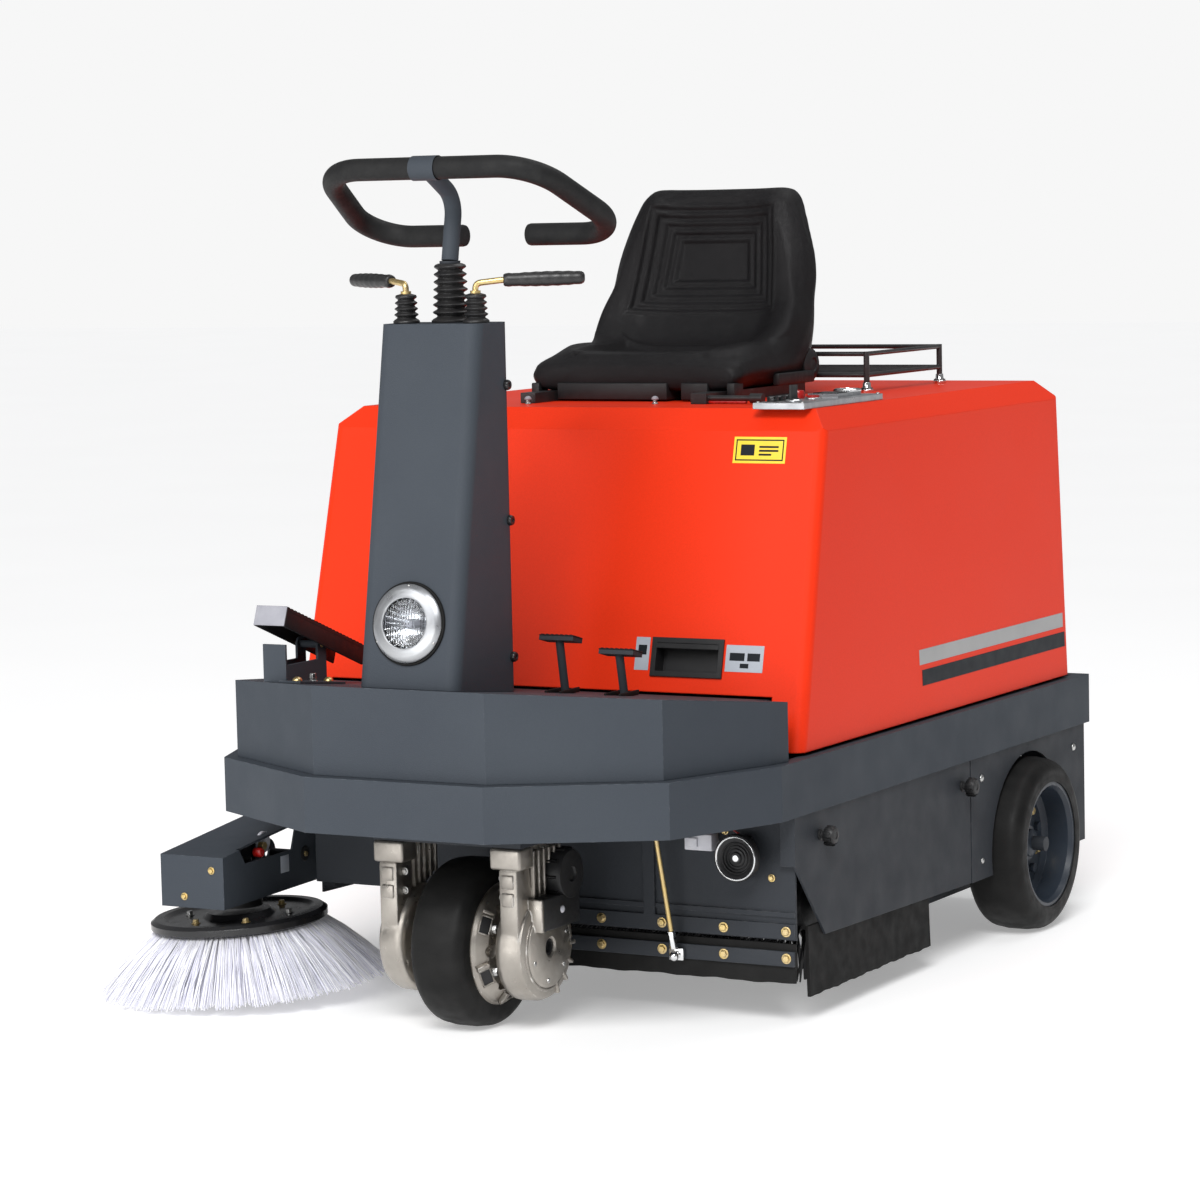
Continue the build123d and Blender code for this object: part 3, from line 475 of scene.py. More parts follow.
def make_studio():
    world = bpy.data.worlds.new("studio")
    world.use_nodes = True
    tree = world.node_tree
    sky = tree.nodes["Background"]
    sky.inputs["Color"].default_value = (0.97, 0.98, 1.0, 1.0)
    sky.inputs["Strength"].default_value = 0.24
    backdrop = tree.nodes.new("ShaderNodeBackground")
    backdrop.inputs["Color"].default_value = (1.0, 1.0, 1.0, 1.0)
    backdrop.inputs["Strength"].default_value = 0.93
    choose = tree.nodes.new("ShaderNodeMixShader")
    tree.links.new(tree.nodes.new("ShaderNodeLightPath").outputs["Is Camera Ray"], choose.inputs["Fac"])
    tree.links.new(sky.outputs[0], choose.inputs[1])
    tree.links.new(backdrop.outputs[0], choose.inputs[2])
    tree.links.new(choose.outputs[0], tree.nodes["World Output"].inputs["Surface"])
    scene.world = world
    middle = at(0, 750, 600)
    sun = bpy.data.lights.new("sun", "SUN")
    sun.energy, sun.angle = 2.3, radians(25)
    placed("sun", sun, towards((0.38, -0.92, 0.95)))
    area_light("key", middle + Vector((-1.2, -4.2, 2.2)), middle, (2.4, 2.0), 60)
    area_light("low", middle + Vector((-0.4, -4.2, -0.1)), middle, (3.0, 1.0), 36)
    area_light("top", middle + Vector((0.6, 1.2, 3.2)), middle, (2.4, 2.0), 30)
    floor = Shader("pale_floor")
    tone = floor.mix(floor.spread(floor.noise(1.2, 3.0), 0.3, 0.7), (0.86, 0.86, 0.86), (0.88, 0.88, 0.88))
    floor.link(tone, floor.bsdf.inputs["Base Color"])
    floor.set(Roughness=0.7, Emission_Color=(1.0, 1.0, 1.0, 1.0), Emission_Strength=0.32)
    bpy.ops.mesh.primitive_plane_add(size=60.0, location=(0, 0, 0))
    plane = bpy.context.object
    plane.name = "floor"
    plane.data.materials.append(floor.material)
    scene.view_settings.view_transform = "Standard"


make_camera()
make_studio()

# ---- finishes of the CAD nodes that stay ----
FINISH = {
    body_grey: ("front_bumper", "foot_deck", "column_cover", "steering_stem", "pedal_bracket",
                "side_brush_arm"),
    chassis_grey: ("main_frame", "front_bulkhead", "side_panels", "rear_plates", "hopper_bin",
                   "main_brush_arms", "flap_pedal", "brake_pedal", "fan_housing", "fork_crown"),
    hood_red: ("hood_shell",),
    black_plastic: ("hood_handle", "battery_pack", "fan_impeller", "key_switch", "side_brush_motor",
                    "brush_motor", "main_brush_core"),
    black_gloss: ("side_brush_plate",),
    black_paint: ("rack", "seat_rails"),
    rubber: ("drive_belt",),
    rim_blue: ("rear_rim_left", "rear_rim_right"),
    cast_alloy: ("front_hub",),
    steel: ("motor_pulley",),
    chrome: ("headlight_bezel",),
    silver_plate: ("control_panel",),
    lamp_glass: ("headlight_lens",),
    foam: ("handlebar_grip",),
    red_plastic: ("push_button",),
}
for material, names in FINISH.items():
    for name in names:
        nodes[name].data.materials.clear()
        nodes[name].data.materials.append(material)


# ---- wheels ----
TYRE_STEPS = 128
REAR_BOLTS_X, REAR_CAP_X = 463, 476


def tyre_facts(node):
    """A tyre's axle point, outer radius and half width."""
    low, high = span(node)
    return (low + high) / 2, (high.z - low.z) / 2, (high.x - low.x) / 2


def tyre_section(inner, outer, half, shoulder, crown=2.0, steps=7):
    """A tyre's section from one bead round the shoulders and the crown to the other bead."""
    side = [(inner, -half)]
    for i in range(steps + 1):
        angle = radians(90 * i / steps)
        side.append((outer - crown - shoulder * (1 - sin(angle)), -half + shoulder * (1 - cos(angle))))
    side.append((outer, -half * 0.3))
    return side + [(r, -h) for r, h in reversed(side)]


def make_front_wheel():
    axle, outer, half = tyre_facts("front_tyre")
    tread = Shape().lathe(tyre_section(96.2, outer, half, 20.0), axle, X, TYRE_STEPS)
    tread.make("front_tyre_tread", tyre_rubber, "front_wheel", "front_tyre")
    bolts, window_shade, frames = Shape(), Shape(), Shape()
    lean = Matrix.Rotation(radians(-41.2), 4, "Y")
    for side in (-1, 1):
        for angle in around(6, 30):
            bolts.bolt(on_circle(axle, 66, angle, side * 67), (side, 0, 0), 7.0, 7.0)
        bolts.lathe([(0, 76.5), (24, 76.5), (24, 79), (0, 79)], axle, (side, 0, 0), 6)
        for angle in around(6):
            turn = Matrix.Translation(axle) @ Matrix.Scale(side, 4, X) @ Matrix.Rotation(angle, 4, "X")
            turn = turn @ Matrix.Translation((59.5, 0, 80)) @ lean
            # The dark slabs in the hub's windows are painted shade: they stand in for the shaded inside seen
            # through the openings.
            window_shade.block((-1, -13, -8), (0.7, 13, 8), 0.3, turn)
            for z in (-9.5, 8):
                frames.block((-1, -15, z), (2.4, 15, z + 1.5), 0.5, turn)
            for y in (-15, 13.2):
                frames.block((-1, y, -9.5), (2.4, y + 1.8, 9.5), 0.5, turn)
            frames.block((-1, 17.5, -10), (4.5, 24, 10), 1.5, turn)
    bolts.make("front_wheel_bolts", steel, "front_wheel")
    window_shade.make("front_wheel_window_shade", black_plastic, "front_wheel")
    frames.make("front_wheel_frames", cast_alloy, "front_wheel")


def make_rear_wheel(side, name):
    wheel, tyre = f"rear_wheel_{name}", f"rear_tyre_{name}"
    axle, outer, half = tyre_facts(tyre)
    tread = Shape().lathe(tyre_section(108.3, outer, half, 24.0), axle, X, TYRE_STEPS)
    ring = [(112, half - 1), (118, half - 1), (118.6, half - 0.5), (115, half - 0.1), (112, half - 0.5)]
    tread.lathe(ring, axle, (side, 0, 0), TYRE_STEPS)
    tread.make(f"{tyre}_tread", tyre_rubber, wheel, tyre)
    bolts = Shape()
    for angle in around(5, 54):
        bolts.bolt(on_circle((0, axle.y, axle.z), 62, angle, side * REAR_BOLTS_X), (side, 0, 0), 8.0, 8.0)
    bolts.make(f"{wheel}_bolts", brass_zinc, wheel)
    turned(f"{wheel}_cap", rim_blue, wheel, [(0, 0), (24, 0), (24, 5), (20, 8), (8, 10), (0, 10)],
           (side * REAR_CAP_X, axle.y, axle.z), (side, 0, 0), 48)


# ---- drive fork castings ----
AXLE = (0, 212.0, 132.0)
MOTOR = (0, 258.0, 240.0)


def make_fork(side, name):
    """The left casting, mirrored for the right; only the left one carries the motor's bracket."""
    cast = Shape()
    drum = [(0, 82), (74, 82), (80, 83), (84, 87), (85, 95), (84, 118), (80, 127), (74, 130), (64, 130),
            (63, 133), (60, 135), (16, 135), (13.5, 133), (12, 122), (0, 122)]
    cast.lathe(drum, AXLE, X, 96)
    leg = [(0, 132, 140), (0, 132, 262), (0, 172, 262), (0, 178, 200), (0, 190, 150)]
    cast.prism(leg, (92, 0, 0), (32, 0, 0), 3.0)
    cast.block((78, 128, 262), (132, 172, 296), 5.0, segments=3)
    web = [(0, 158, 196), (0, 158, 294), (0, 264, 294), (0, 264, 234), (0, 220, 206)]
    cast.prism(web, (100, 0, 0), (18, 0, 0), 2.0)
    for i in range(6):
        y, foot = 176 + 16 * i, 203 + 5 * i
        fin = [(0, y, foot), (0, y, 286), (0, y + 6, 286), (0, y + 6, foot)]
        cast.prism(fin, (96, 0, 0), (33, 0, 0), 1.2)
    for i in range(4):
        angle = radians(-70 + 22 * i)
        turn = Matrix.Translation(on_circle(AXLE, 70, angle, 128)) @ Matrix.Rotation(angle, 4, "X")
        cast.block((-8, -12, -3.0), (5, 12, 3.0), 1.5, turn)
    cast.lathe([(64.5, 129), (68, 129), (68, 132), (64.5, 132)], AXLE, X, 96)
    if side > 0:
        cast.block((118, 164, 162), (148.6, 172, 213), 2.0)
    for z in (206, 234):
        cast.block((98, 129.5, z), (118, 133, z + 20), 1.2)
    cast.disc(15, 72, (12, *AXLE[1:]), X, 32)
    screws = Shape()
    for y in (182, 214, 246):
        screws.dome((109, y, 294), Z, 6.5, 6.0)
    for angle in around(6, 20):
        screws.bolt(on_circle(AXLE, 52, angle, 133), X, 4.2)
    for z in (216, 246):
        screws.bolt((88, 150, z), (0, -1, 0), 4.5)
    # The black disc in the hub's centre hole is painted shade: it stands in for the shade inside the hole.
    hole_shade = Shape().lathe([(0, 118), (13.2, 118), (13.2, 131), (10, 131), (9, 124), (0, 124)], AXLE, X, 32)
    if side < 0:
        cast, screws, hole_shade = cast.mirrored(), screws.mirrored(), hole_shade.mirrored()
    cast.make(f"fork_casting_{name}", cast_alloy, "steering", f"fork_{name}")
    screws.make(f"fork_screws_{name}", steel, "steering")
    hole_shade.make(f"fork_hole_shade_{name}", black_plastic, "steering")


def make_drive_motor():
    can = [(0, 118), (36, 118), (40, 122), (40, 144), (37, 149), (30, 150), (12, 150), (10, 147), (0, 147)]
    motor = Shape().lathe(can, MOTOR, X, 64)
    motor.block((124.5, 171, 162), (149, 282, 213), 3.0)
    motor.block((120, 246, 205), (141, 278, 262), 3.0)
    for angle in around(10):
        turn = Matrix.Translation(on_circle(MOTOR, 40, angle, 134)) @ Matrix.Rotation(angle, 4, "X")
        motor.block((-9, -2.4, -1.6), (9, 2.4, 1.6), 0.6, turn)
    motor.make("drive_motor_can", black_plastic, "steering", "drive_motor")
    Shape().dome((149, 226, 190), X, 6.0, 3.0).make("drive_motor_screw", white_plastic, "steering")


make_front_wheel()
for side, name in ((1, "left"), (-1, "right")):
    make_rear_wheel(side, name)
    make_fork(side, name)
make_drive_motor()


# ---- handlebar, bellows and hand levers ----
BAR_RADIUS, BAR_END_X, STEM = 17.3, 62, (126, 1331)
LEVER_X, LEVER_Y = 62, 158


def make_bar_details():
    low, high = span("handlebar_grip")
    ends, clamp = Shape(), Shape()
    for side in (-1, 1):
        ends.lathe([(0, -2), (16.4, -2), (17.2, 0), (16.4, 3.4), (12, 5.6), (0, 6.4)],
                   (side * BAR_END_X, high.y - BAR_RADIUS, low.z + BAR_RADIUS), (-side, 0, 0), 32)
    ends.make("handlebar_end_caps", foam, "steering")
    for x in (-20, 20):
        clamp.lathe([(17.5, -2), (18.6, -2), (18.9, -1), (18.9, 1), (18.6, 2), (17.5, 2)], (x, *STEM), X, 48)
    clamp.make("handlebar_clamp_rims", body_grey, "steering")


def bellows(low, high, inner, outer, folds, spot):
    """A ribbed boot: rounded folds that narrow towards the top, with a collar at each end."""
    steps = 8
    profile = [(inner, low), (outer * 1.04, low), (outer * 1.06, low + 3)]
    pitch = (high - low - 9) / folds
    for i in range(folds * steps + 1):
        t = i / steps
        taper = 1 - 0.14 * i / (folds * steps)
        wave = 0.87 + 0.13 * cos(2 * pi * t)
        profile.append((outer * taper * wave, low + 4 + t * pitch))
    profile += [(outer * 0.80, high - 2), (inner + 1.5, high), (inner, high)]
    return Shape().lathe(profile, spot, Z, 40)


def make_boots():
    top = column_high.z / MM
    boot = bellows(top + 0.3, 1186, 17, 29, 7, (0, 188, 0))
    boot.make("column_bellows", boot_rubber, "chassis", "rubber_boots", sharp=60)
    for side, name in ((1, "left"), (-1, "right")):
        x = side * LEVER_X
        boot = bellows(top + 0.3, 1141, 7.0, 19.5, 4, (x, LEVER_Y, 0))
        boot = boot.make(f"lever_bellows_{name}", boot_rubber, None, sharp=60)
        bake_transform(boot)


def make_lever(side, name):
    foot = (LEVER_X, LEVER_Y)
    rod = Shape().tube(bend([(*foot, 1112), (*foot, 1156), (97, 176, 1160), (120, 189, 1160.5)], 10), 4.8)
    rod.collar(5, 8, 7, (*foot, 1138), Z, 24)
    start, end = Vector((100, 178, 1160)), Vector((208, 238, 1161.2))
    length = (end - start).length
    profile = [(0, 0), (4.6, 0), (8.0, 0), (9.6, 2), (10.6, 8), (9.8, 14)]
    for i in range(25):
        t = i / 24
        profile.append((9.7 + 1.5 * sin(pi * t) ** 0.7 + 0.35 * cos(12 * pi * t), 16 + t * (length - 24)))
    profile += [(9.6, length - 5), (7.5, length - 1.5), (4.0, length), (0, length)]
    grip = Shape().lathe(profile, start, end - start, 40)
    if side < 0:
        rod, grip = rod.mirrored(), grip.mirrored()
    rod.make(f"lever_rod_{name}", brass_zinc, f"lever_{name[0]}", f"lever_{name}")
    grip.make(f"lever_grip_{name}", boot_rubber, f"lever_{name[0]}", sharp=60)


make_bar_details()
make_boots()
make_lever(1, "left")
make_lever(-1, "right")


# ---- fasteners of the chassis ----
def on_deck(y):
    """A spot of the drive pedal's plate on the sloping deck."""
    return (-232, y, 552.2 - 0.12 * y + 4.4)


def make_fasteners():
    black, silver, brass = Shape(), Shape(), Shape()
    for side in (-1, 1):
        for z in (583, 793, 1000):
            black.lathe([(0, 0), (8.2, 0), (8.2, 3), (7.0, 6), (3.2, 6.4), (3.0, 4), (0, 4)],
                        (side * 88.2, 198, z), (side, 0, 0), 24)
        for y in (1088, 1493):
            silver.dome((side * 476.6, y, 291), (side, 0, 0), 6.5, 3.5)
            silver.dome((side * 476.6, y, 150), (side, 0, 0), 5.0, 3.0)
    for i in range(7):
        brass.bolt((455 - 108.6 * i, 384.4, 148), (0, -1, 0), 6.0, 4.5)
    for y in (82, 170):
        brass.dome(on_deck(y), Z, 8.0, 6.5)
    silver.bolt(on_deck(126), Z, 6.0, 12.0)
    black.make("column_screws", black_gloss, "chassis", "machine_screws")
    silver.make("panel_rivets", steel, "chassis")
    brass.make("bulkhead_bolts", brass_zinc, "chassis")


make_fasteners()


# ---- seat: one moulded vinyl pad, padded by cloth simulation ----
SEAT_FACE = [(757, 1004), (785, 1019), (850, 1022), (930, 1019), (985, 1036), (1017, 1074), (1036, 1130),
             (1054, 1200), (1070, 1260), (1083, 1298)]
SEAT_BACK = [(755, 964), (790, 962.5), (850, 963), (930, 963), (1010, 964), (1060, 1012), (1090, 1100),
             (1110, 1180), (1126, 1245), (1136, 1292)]
SEAT_WIDTH = [(0.0, 196), (0.1, 203), (0.4, 202), (0.55, 203), (0.68, 196), (1.0, 147)]
PRESSED_FRAMES, STEP_DEPTH, RIDGE_HEIGHT = 5, 3.2, 1.5
VOXEL, PUFF = 0.005, 0.004


def along_curve(points, u):
    """Catmull-Rom through evenly spaced 2-D points."""
    count = len(points) - 1
    i = min(int(u * count), count - 1)
    t = u * count - i
    p = [Vector(points[min(max(k, 0), count)]) for k in (i - 1, i, i + 1, i + 2)]
    return 0.5 * (2 * p[1] + (p[2] - p[0]) * t + (2 * p[0] - 5 * p[1] + 4 * p[2] - p[3]) * t * t
                  + (3 * p[1] - p[0] - 3 * p[2] + p[3]) * t ** 3)


def between(table, u):
    for (u0, v0), (u1, v1) in zip(table, table[1:]):
        if u <= u1:
            return v0 + (v1 - v0) * smooth(u0, u1, u)
    return table[-1][1]


def seat_point(a, b, u):
    """A seat point: a across, b from the back (-1) to the face (1), u from the front edge to the top."""
    face, back = along_curve(SEAT_FACE, u), along_curve(SEAT_BACK, u)
    corner = max(0.0, (u - 0.91) / 0.09, (0.08 - u) / 0.08)
    cut = 34 if u > 0.5 else 22
    width = between(SEAT_WIDTH, u) - cut * (1 - sqrt(max(0.0, 1 - min(corner, 1.0) ** 2)))
    ends = min(u, 1 - u) * 2
    thin = (1 - abs(a) ** 10) ** 0.45 * (1 - (1 - ends) ** 44) ** 0.5
    bolster = smooth(0.52, 0.74, abs(a)) * (1 - smooth(0.86, 1.0, abs(a)))
    fade = smooth(0.08, 0.3, u) * (1 - smooth(0.9, 1.0, u))
    middle, half = (face + back) / 2, (face - back) / 2
    spot = middle + half * b * thin
    lift = (14 * bolster - 7 * (1 - smooth(0.3, 0.6, abs(a)))) * fade * (b + 1) / 2
    spot += half.normalized() * lift
    wing = 26 * smooth(0.55, 1.0, abs(a)) * exp(-((u - 0.50) / 0.13) ** 2) * (b + 1) / 2
    spot += Vector((-0.72, 0.69)) * wing
    return (width * a, spot.x, spot.y)


def seat_shell():
    """A closed quad grid over the seat's outline."""
    across, thick, run = 40, 8, 72
    bm = bmesh.new()
    made = {}

    def vert(i, j, k):
        if (i, j, k) not in made:
            place = seat_point(2 * i / across - 1, 2 * j / thick - 1, k / run)
            made[i, j, k] = bm.verts.new(at(*place))
        return made[i, j, k]

    for i in range(across):
        for k in range(run):
            for j in (0, thick):
                bm.faces.new((vert(i, j, k), vert(i + 1, j, k), vert(i + 1, j, k + 1), vert(i, j, k + 1)))
    for j in range(thick):
        for k in range(run):
            for i in (0, across):
                bm.faces.new((vert(i, j, k), vert(i, j + 1, k), vert(i, j + 1, k + 1), vert(i, j, k + 1)))
        for i in range(across):
            for k in (0, run):
                bm.faces.new((vert(i, j, k), vert(i + 1, j, k), vert(i + 1, j + 1, k), vert(i, j + 1, k)))
    bmesh.ops.recalc_face_normals(bm, faces=bm.faces)
    mesh = bpy.data.meshes.new("seat_pad")
    bm.to_mesh(mesh)
    bm.free()
    return mesh


def applied(made):
    """Replace an object's mesh by its mesh with the modifiers on."""
    evaluated = made.evaluated_get(bpy.context.evaluated_depsgraph_get())
    made.data = bpy.data.meshes.new_from_object(evaluated)
    made.modifiers.clear()


def inflate(made, cap, frames=20):
    """Cloth under pressure with no gravity; no point moves further than cap."""
    start = [v.co.copy() for v in made.data.vertices]
    cloth = made.modifiers.new("cloth", "CLOTH")
    cloth.settings.use_pressure = True
    cloth.settings.uniform_pressure_force = 4.0
    cloth.settings.effector_weights.gravity = 0.0
    for number in range(1, frames + 1):
        scene.frame_set(number)
    applied(made)
    scene.frame_set(1)
    for vert, rest in zip(made.data.vertices, start):
        move = vert.co - rest
        if move.length > cap:
            move *= cap / move.length
        vert.co = rest + move


def emboss_seat(made):
    """Stepped frames pressed into the backrest, a channel across the cushion's root and a rim crease."""
    foot, top = Vector((1022.0, 1092.0)), Vector((1080.0, 1292.0))
    run = (top - foot).normalized()
    out = Vector((-run.y, run.x))
    normals = [v.normal.copy() for v in made.data.vertices]
    for vert, normal in zip(made.data.vertices, normals):
        spot = (vert.co - MACHINE) / MM
        flat = Vector((spot.y, spot.z)) - foot
        height, facing = flat.dot(run), normal.y * out.x + normal.z * out.y
        if facing > 0.25 and height > -40:
            depth = 0.0
            for k in range(PRESSED_FRAMES):
                wide, tall = 128 - 15 * k - 0.10 * (height - 80), 92 - 14 * k
                inside = min(wide - abs(spot.x), tall - abs(height - 84))
                depth += STEP_DEPTH * smooth(0, 5, inside) - RIDGE_HEIGHT * exp(-((inside + 3) / 3.2) ** 2)
            vert.co -= normal * depth * MM
        elif normal.z > 0.4 and spot.z > 990 and spot.y < 1000:
            inside = min(126 - abs(spot.x), 965 - spot.y, spot.y - 800)
            vert.co -= normal * (3.0 * smooth(0, 14, inside) - 1.4 * exp(-((inside + 4) / 5) ** 2)) * MM


def make_seat():
    made = placed("seat_pad", seat_shell())
    remesh = made.modifiers.new("remesh", "REMESH")
    remesh.mode, remesh.voxel_size = "VOXEL", VOXEL
    applied(made)
    inflate(made, PUFF)
    finer = made.modifiers.new("finer", "SUBSURF")
    finer.levels = finer.render_levels = 1
    applied(made)
    emboss_seat(made)
    made.data.materials.clear()
    made.data.materials.append(seat_vinyl)
    made.data.shade_smooth()
    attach(made, "seat")
    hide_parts("seat_cushion", "seat_backrest")
    hinge = Shape()
    for side in (-1, 1):
        hinge.lathe([(0, 182), (24, 182), (27, 186), (27, 196), (22, 200), (12, 201), (10, 199), (0, 199)],
                    (0, 1036, 992), (side, 0, 0), 40)
        hinge.block((side * 196 - 6, 900, 963), (side * 196 + 6, 1036, 983), 2.5)
    for x0, x1, y1 in ((-192, -177, 790), (-142, 66, 1000), (92, 142, 1000), (177, 192, 790)):
        hinge.block((x0, 757, 946.5), (x1, y1, 974), 2.0)
    hinge.make("seat_side_brackets", black_plastic, "seat")


make_seat()


# ---- brushes ----
BRUSH_LEAN = radians(3.5)
BRUSH_AXIS = Vector((-0.873 * sin(BRUSH_LEAN), -0.488 * sin(BRUSH_LEAN), cos(BRUSH_LEAN)))
BRUSH_TIPS = Vector((-491.0, 292.0, 15.7))
BRUSH_PLACE = Matrix.Translation(BRUSH_TIPS) @ towards(BRUSH_AXIS)
# Rows of tufts: root radius, tip radius and number of tufts.
BRUSH_ROWS = ((98, 176, 74), (107, 191, 80), (116, 205, 86), (125, 218, 92), (134, 231, 98))
TUFT_FILAMENTS, BRUSH_REACH = 12, 238


def make_filaments(brush, filaments, thickness, material):
    """A brush's filaments: thin rods, each a list of points, that taper a little to the tip."""
    verts, faces, sides = [], [], 4
    for path in filaments:
        along = (path[-1] - path[0]).normalized()
        first = along.orthogonal().normalized()
        second = along.cross(first)
        start = len(verts)
        for i, point in enumerate(path):
            width = thickness * (1 - 0.35 * i / (len(path) - 1))
            for k in range(sides):
                angle = 2 * pi * k / sides
                verts.append(at(*(point + (first * cos(angle) + second * sin(angle)) * width)))
        for i in range(len(path) - 1):
            for k in range(sides):
                a, b = start + i * sides + k, start + i * sides + (k + 1) % sides
                faces.append((a, b, b + sides, a + sides))
        faces.append(tuple(range(start, start + sides))[::-1])
        faces.append(tuple(range(len(verts) - sides, len(verts))))
    mesh = bpy.data.meshes.new(f"{brush}_filaments")
    mesh.from_pydata(verts, [], faces)
    mesh.shade_smooth()
    mesh.materials.append(material)
    made = placed(mesh.name, mesh)
    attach(made, brush)
    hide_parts(f"{brush}_bristles")


def make_side_brush():
    rng = random.Random(11)
    filaments = []
    for root, tip, count in BRUSH_ROWS:
        for tuft in range(count):
            turn = 2 * pi * (tuft + rng.uniform(-0.15, 0.15)) / count
            lean_out, lean_round = rng.uniform(-7, 7), rng.uniform(-0.035, 0.035)
            for _ in range(TUFT_FILAMENTS):
                angle = turn + rng.uniform(-0.026, 0.026)
                start = Vector(((root + rng.uniform(-3, 3)) * cos(angle),
                                (root + rng.uniform(-3, 3)) * sin(angle), 98.5))
                far = min(tip + lean_out + rng.gauss(0, 3.2), BRUSH_REACH)
                angle += lean_round + rng.gauss(0, 0.018)
                end = Vector((far * cos(angle), far * sin(angle), max(0.4, rng.gauss(4, 3.0))))
                bulge = Vector((cos(angle), sin(angle), 0.8)) * rng.uniform(0, 5)
                path = [start.lerp(end, t) + bulge * sin(pi * t) for t in (0, 0.33, 0.67, 1)]
                filaments.append([BRUSH_PLACE @ p for p in path])
    make_filaments("side_brush", filaments, 1.05, white_bristle)
    brass, silver = Shape(), Shape()
    for i, angle in enumerate(around(6, 12)):
        spot = BRUSH_PLACE @ Vector((88 * cos(angle), 88 * sin(angle), 112.2))
        (silver if i % 3 == 1 else brass).bolt(spot, BRUSH_AXIS, 5.5, 7.0)
    brass.make("side_brush_bolts", brass_zinc, "side_brush")
    silver.make("side_brush_lock_bolts", steel, "side_brush")


def make_main_brush():
    rng = random.Random(5)
    rows, tufts, core = 16, 58, 51
    low, high = span("main_brush_bristles")
    axle_y, axle_z, outer = (low.y + high.y) / 2, (low.z + high.z) / 2, (high.z - low.z) / 2
    filaments = []
    for row in range(rows):
        for k in range(tufts):
            x = low.x + 6 + (high.x - low.x - 12) * k / (tufts - 1)
            angle = 2 * pi * row / rows + 0.9 * abs(x) / high.x
            for _ in range(3):
                turn = angle + rng.uniform(-0.03, 0.03)
                way = Vector((0, cos(turn), sin(turn)))
                root = Vector((x + rng.uniform(-2, 2), axle_y, axle_z)) + way * core
                tip = Vector((x + rng.uniform(-5, 5), axle_y, axle_z)) + way * (outer - rng.uniform(0.5, 3))
                filaments.append([root, tip])
    make_filaments("main_brush", filaments, 2.2, black_bristle)


def make_arm_details():
    brass = Shape()
    for x, z in ((-469, 219), (-523, 174)):
        brass.bolt((x, 172.8, z), (0, -1, 0), 4.6, 4.5)
    brass.bolt((-445.6, 410, 212), X, 5.0, 4.0)
    brass.disc(7, 10, (-464, 306, 240), X, 6)
    brass.make("side_arm_screws", brass_zinc, "side_arm")
    turned("side_arm_pulley", white_plastic, "side_arm",
           [(0, 0), (17, 0), (18, 1), (18, 5), (17, 6), (6, 6), (6, 9), (0, 9)], (-472, 322, 243), X, 40)
    turned("side_arm_red_cap", red_plastic, "side_arm",
           [(0, 0), (7.5, 0), (8, 2), (8, 12), (6, 15), (0, 15.5)], (-462, 288, 232), X, 28)
    Shape().block((-446.1, 338, 190), (-445.4, 362, 218), 0.2).make("side_arm_label", label_grey, "side_arm")
    turned("side_arm_washer", black_plastic, "side_arm", [(0, 0), (12, 0), (13, 1), (12, 2), (0, 2)],
           (-446.2, 410, 212), X, 32)


make_side_brush()
make_main_brush()
make_arm_details()


# ---- rubber flap and skirts ----
def rubber_sheet(corner, run, drop, thickness, waves, bulge):
    """A hanging rubber strip: corner is its top front end, run its horizontal side, drop its height."""
    corner, run = Vector(corner), Vector(run)
    side = Vector((run.y, -run.x, 0)).normalized()
    columns, rows = 60, 8
    shape = Shape()
    grid = []
    for face in (0.0, thickness):
        for i in range(columns + 1):
            for j in range(rows + 1):
                t, down = i / columns, j / rows
                sway = bulge * down * down * (0.6 + 0.4 * sin(waves * pi * t))
                ragged = 0.8 * sin(37 * t) + 0.6 * sin(91 * t + 1)
                spot = corner + run * t + side * (sway - face) + Vector((0, 0, -(drop - 1.5 + ragged) * down))
                grid.append(shape.bm.verts.new(spot))

    def face(*corners):
        shape.bm.faces.new([grid[(layer * (columns + 1) + i) * (rows + 1) + j] for layer, i, j in corners])

    for i in range(columns):
        for j in range(rows):
            for layer in (0, 1):
                face((layer, i, j), (layer, i + 1, j), (layer, i + 1, j + 1), (layer, i, j + 1))
        for j in (0, rows):
            face((0, i, j), (0, i + 1, j), (1, i + 1, j), (1, i, j))
    for j in range(rows):
        for i in (0, columns):
            face((0, i, j), (0, i, j + 1), (1, i, j + 1), (1, i, j))
    return shape


def make_flap():
    flap = rubber_sheet((-225, 386.2, 129), (695, 0, 0), 63.5, 3.6, 5, 3.0)
    flap.make("front_flap_rubber", rubber, "flap", "front_flap")
    Shape().block((-225, 380, 94), (470, 385.5, 118), 1.2).make("front_flap_strip", chassis_grey, "flap")
    bolts = Shape()
    for i in range(7):
        bolts.bolt((457 - 108.6 * i, 380, 107), (0, -1, 0), 6.0, 4.5)
    bolts.make("front_flap_bolts", brass_zinc, "flap")
    stud = Shape().tube([(268, 382, 102), (268, 370, 100.5)], 4.2)
    stud.lathe([(0, -8), (4, -7), (7, -4), (8, 0), (7, 4), (4, 7), (0, 8)], (268, 366, 100), Z, 32)
    stud.block((255, 372, 92), (281, 379.6, 112), 2.0)
    stud.make("flap_ball_stud", chrome, "flap")
    left = rubber_sheet((471.4, 428, 150), (0, 450, 0), 111.5, 5.0, 2.2, 3.0)
    left.make("side_skirt_left", rubber, "chassis", "side_skirts")
    right = rubber_sheet((-466.4, 1000, 150), (0, -240, 0), 111.5, 5.0, 1.3, 3.0)
    right.make("side_skirt_right", rubber, "chassis")


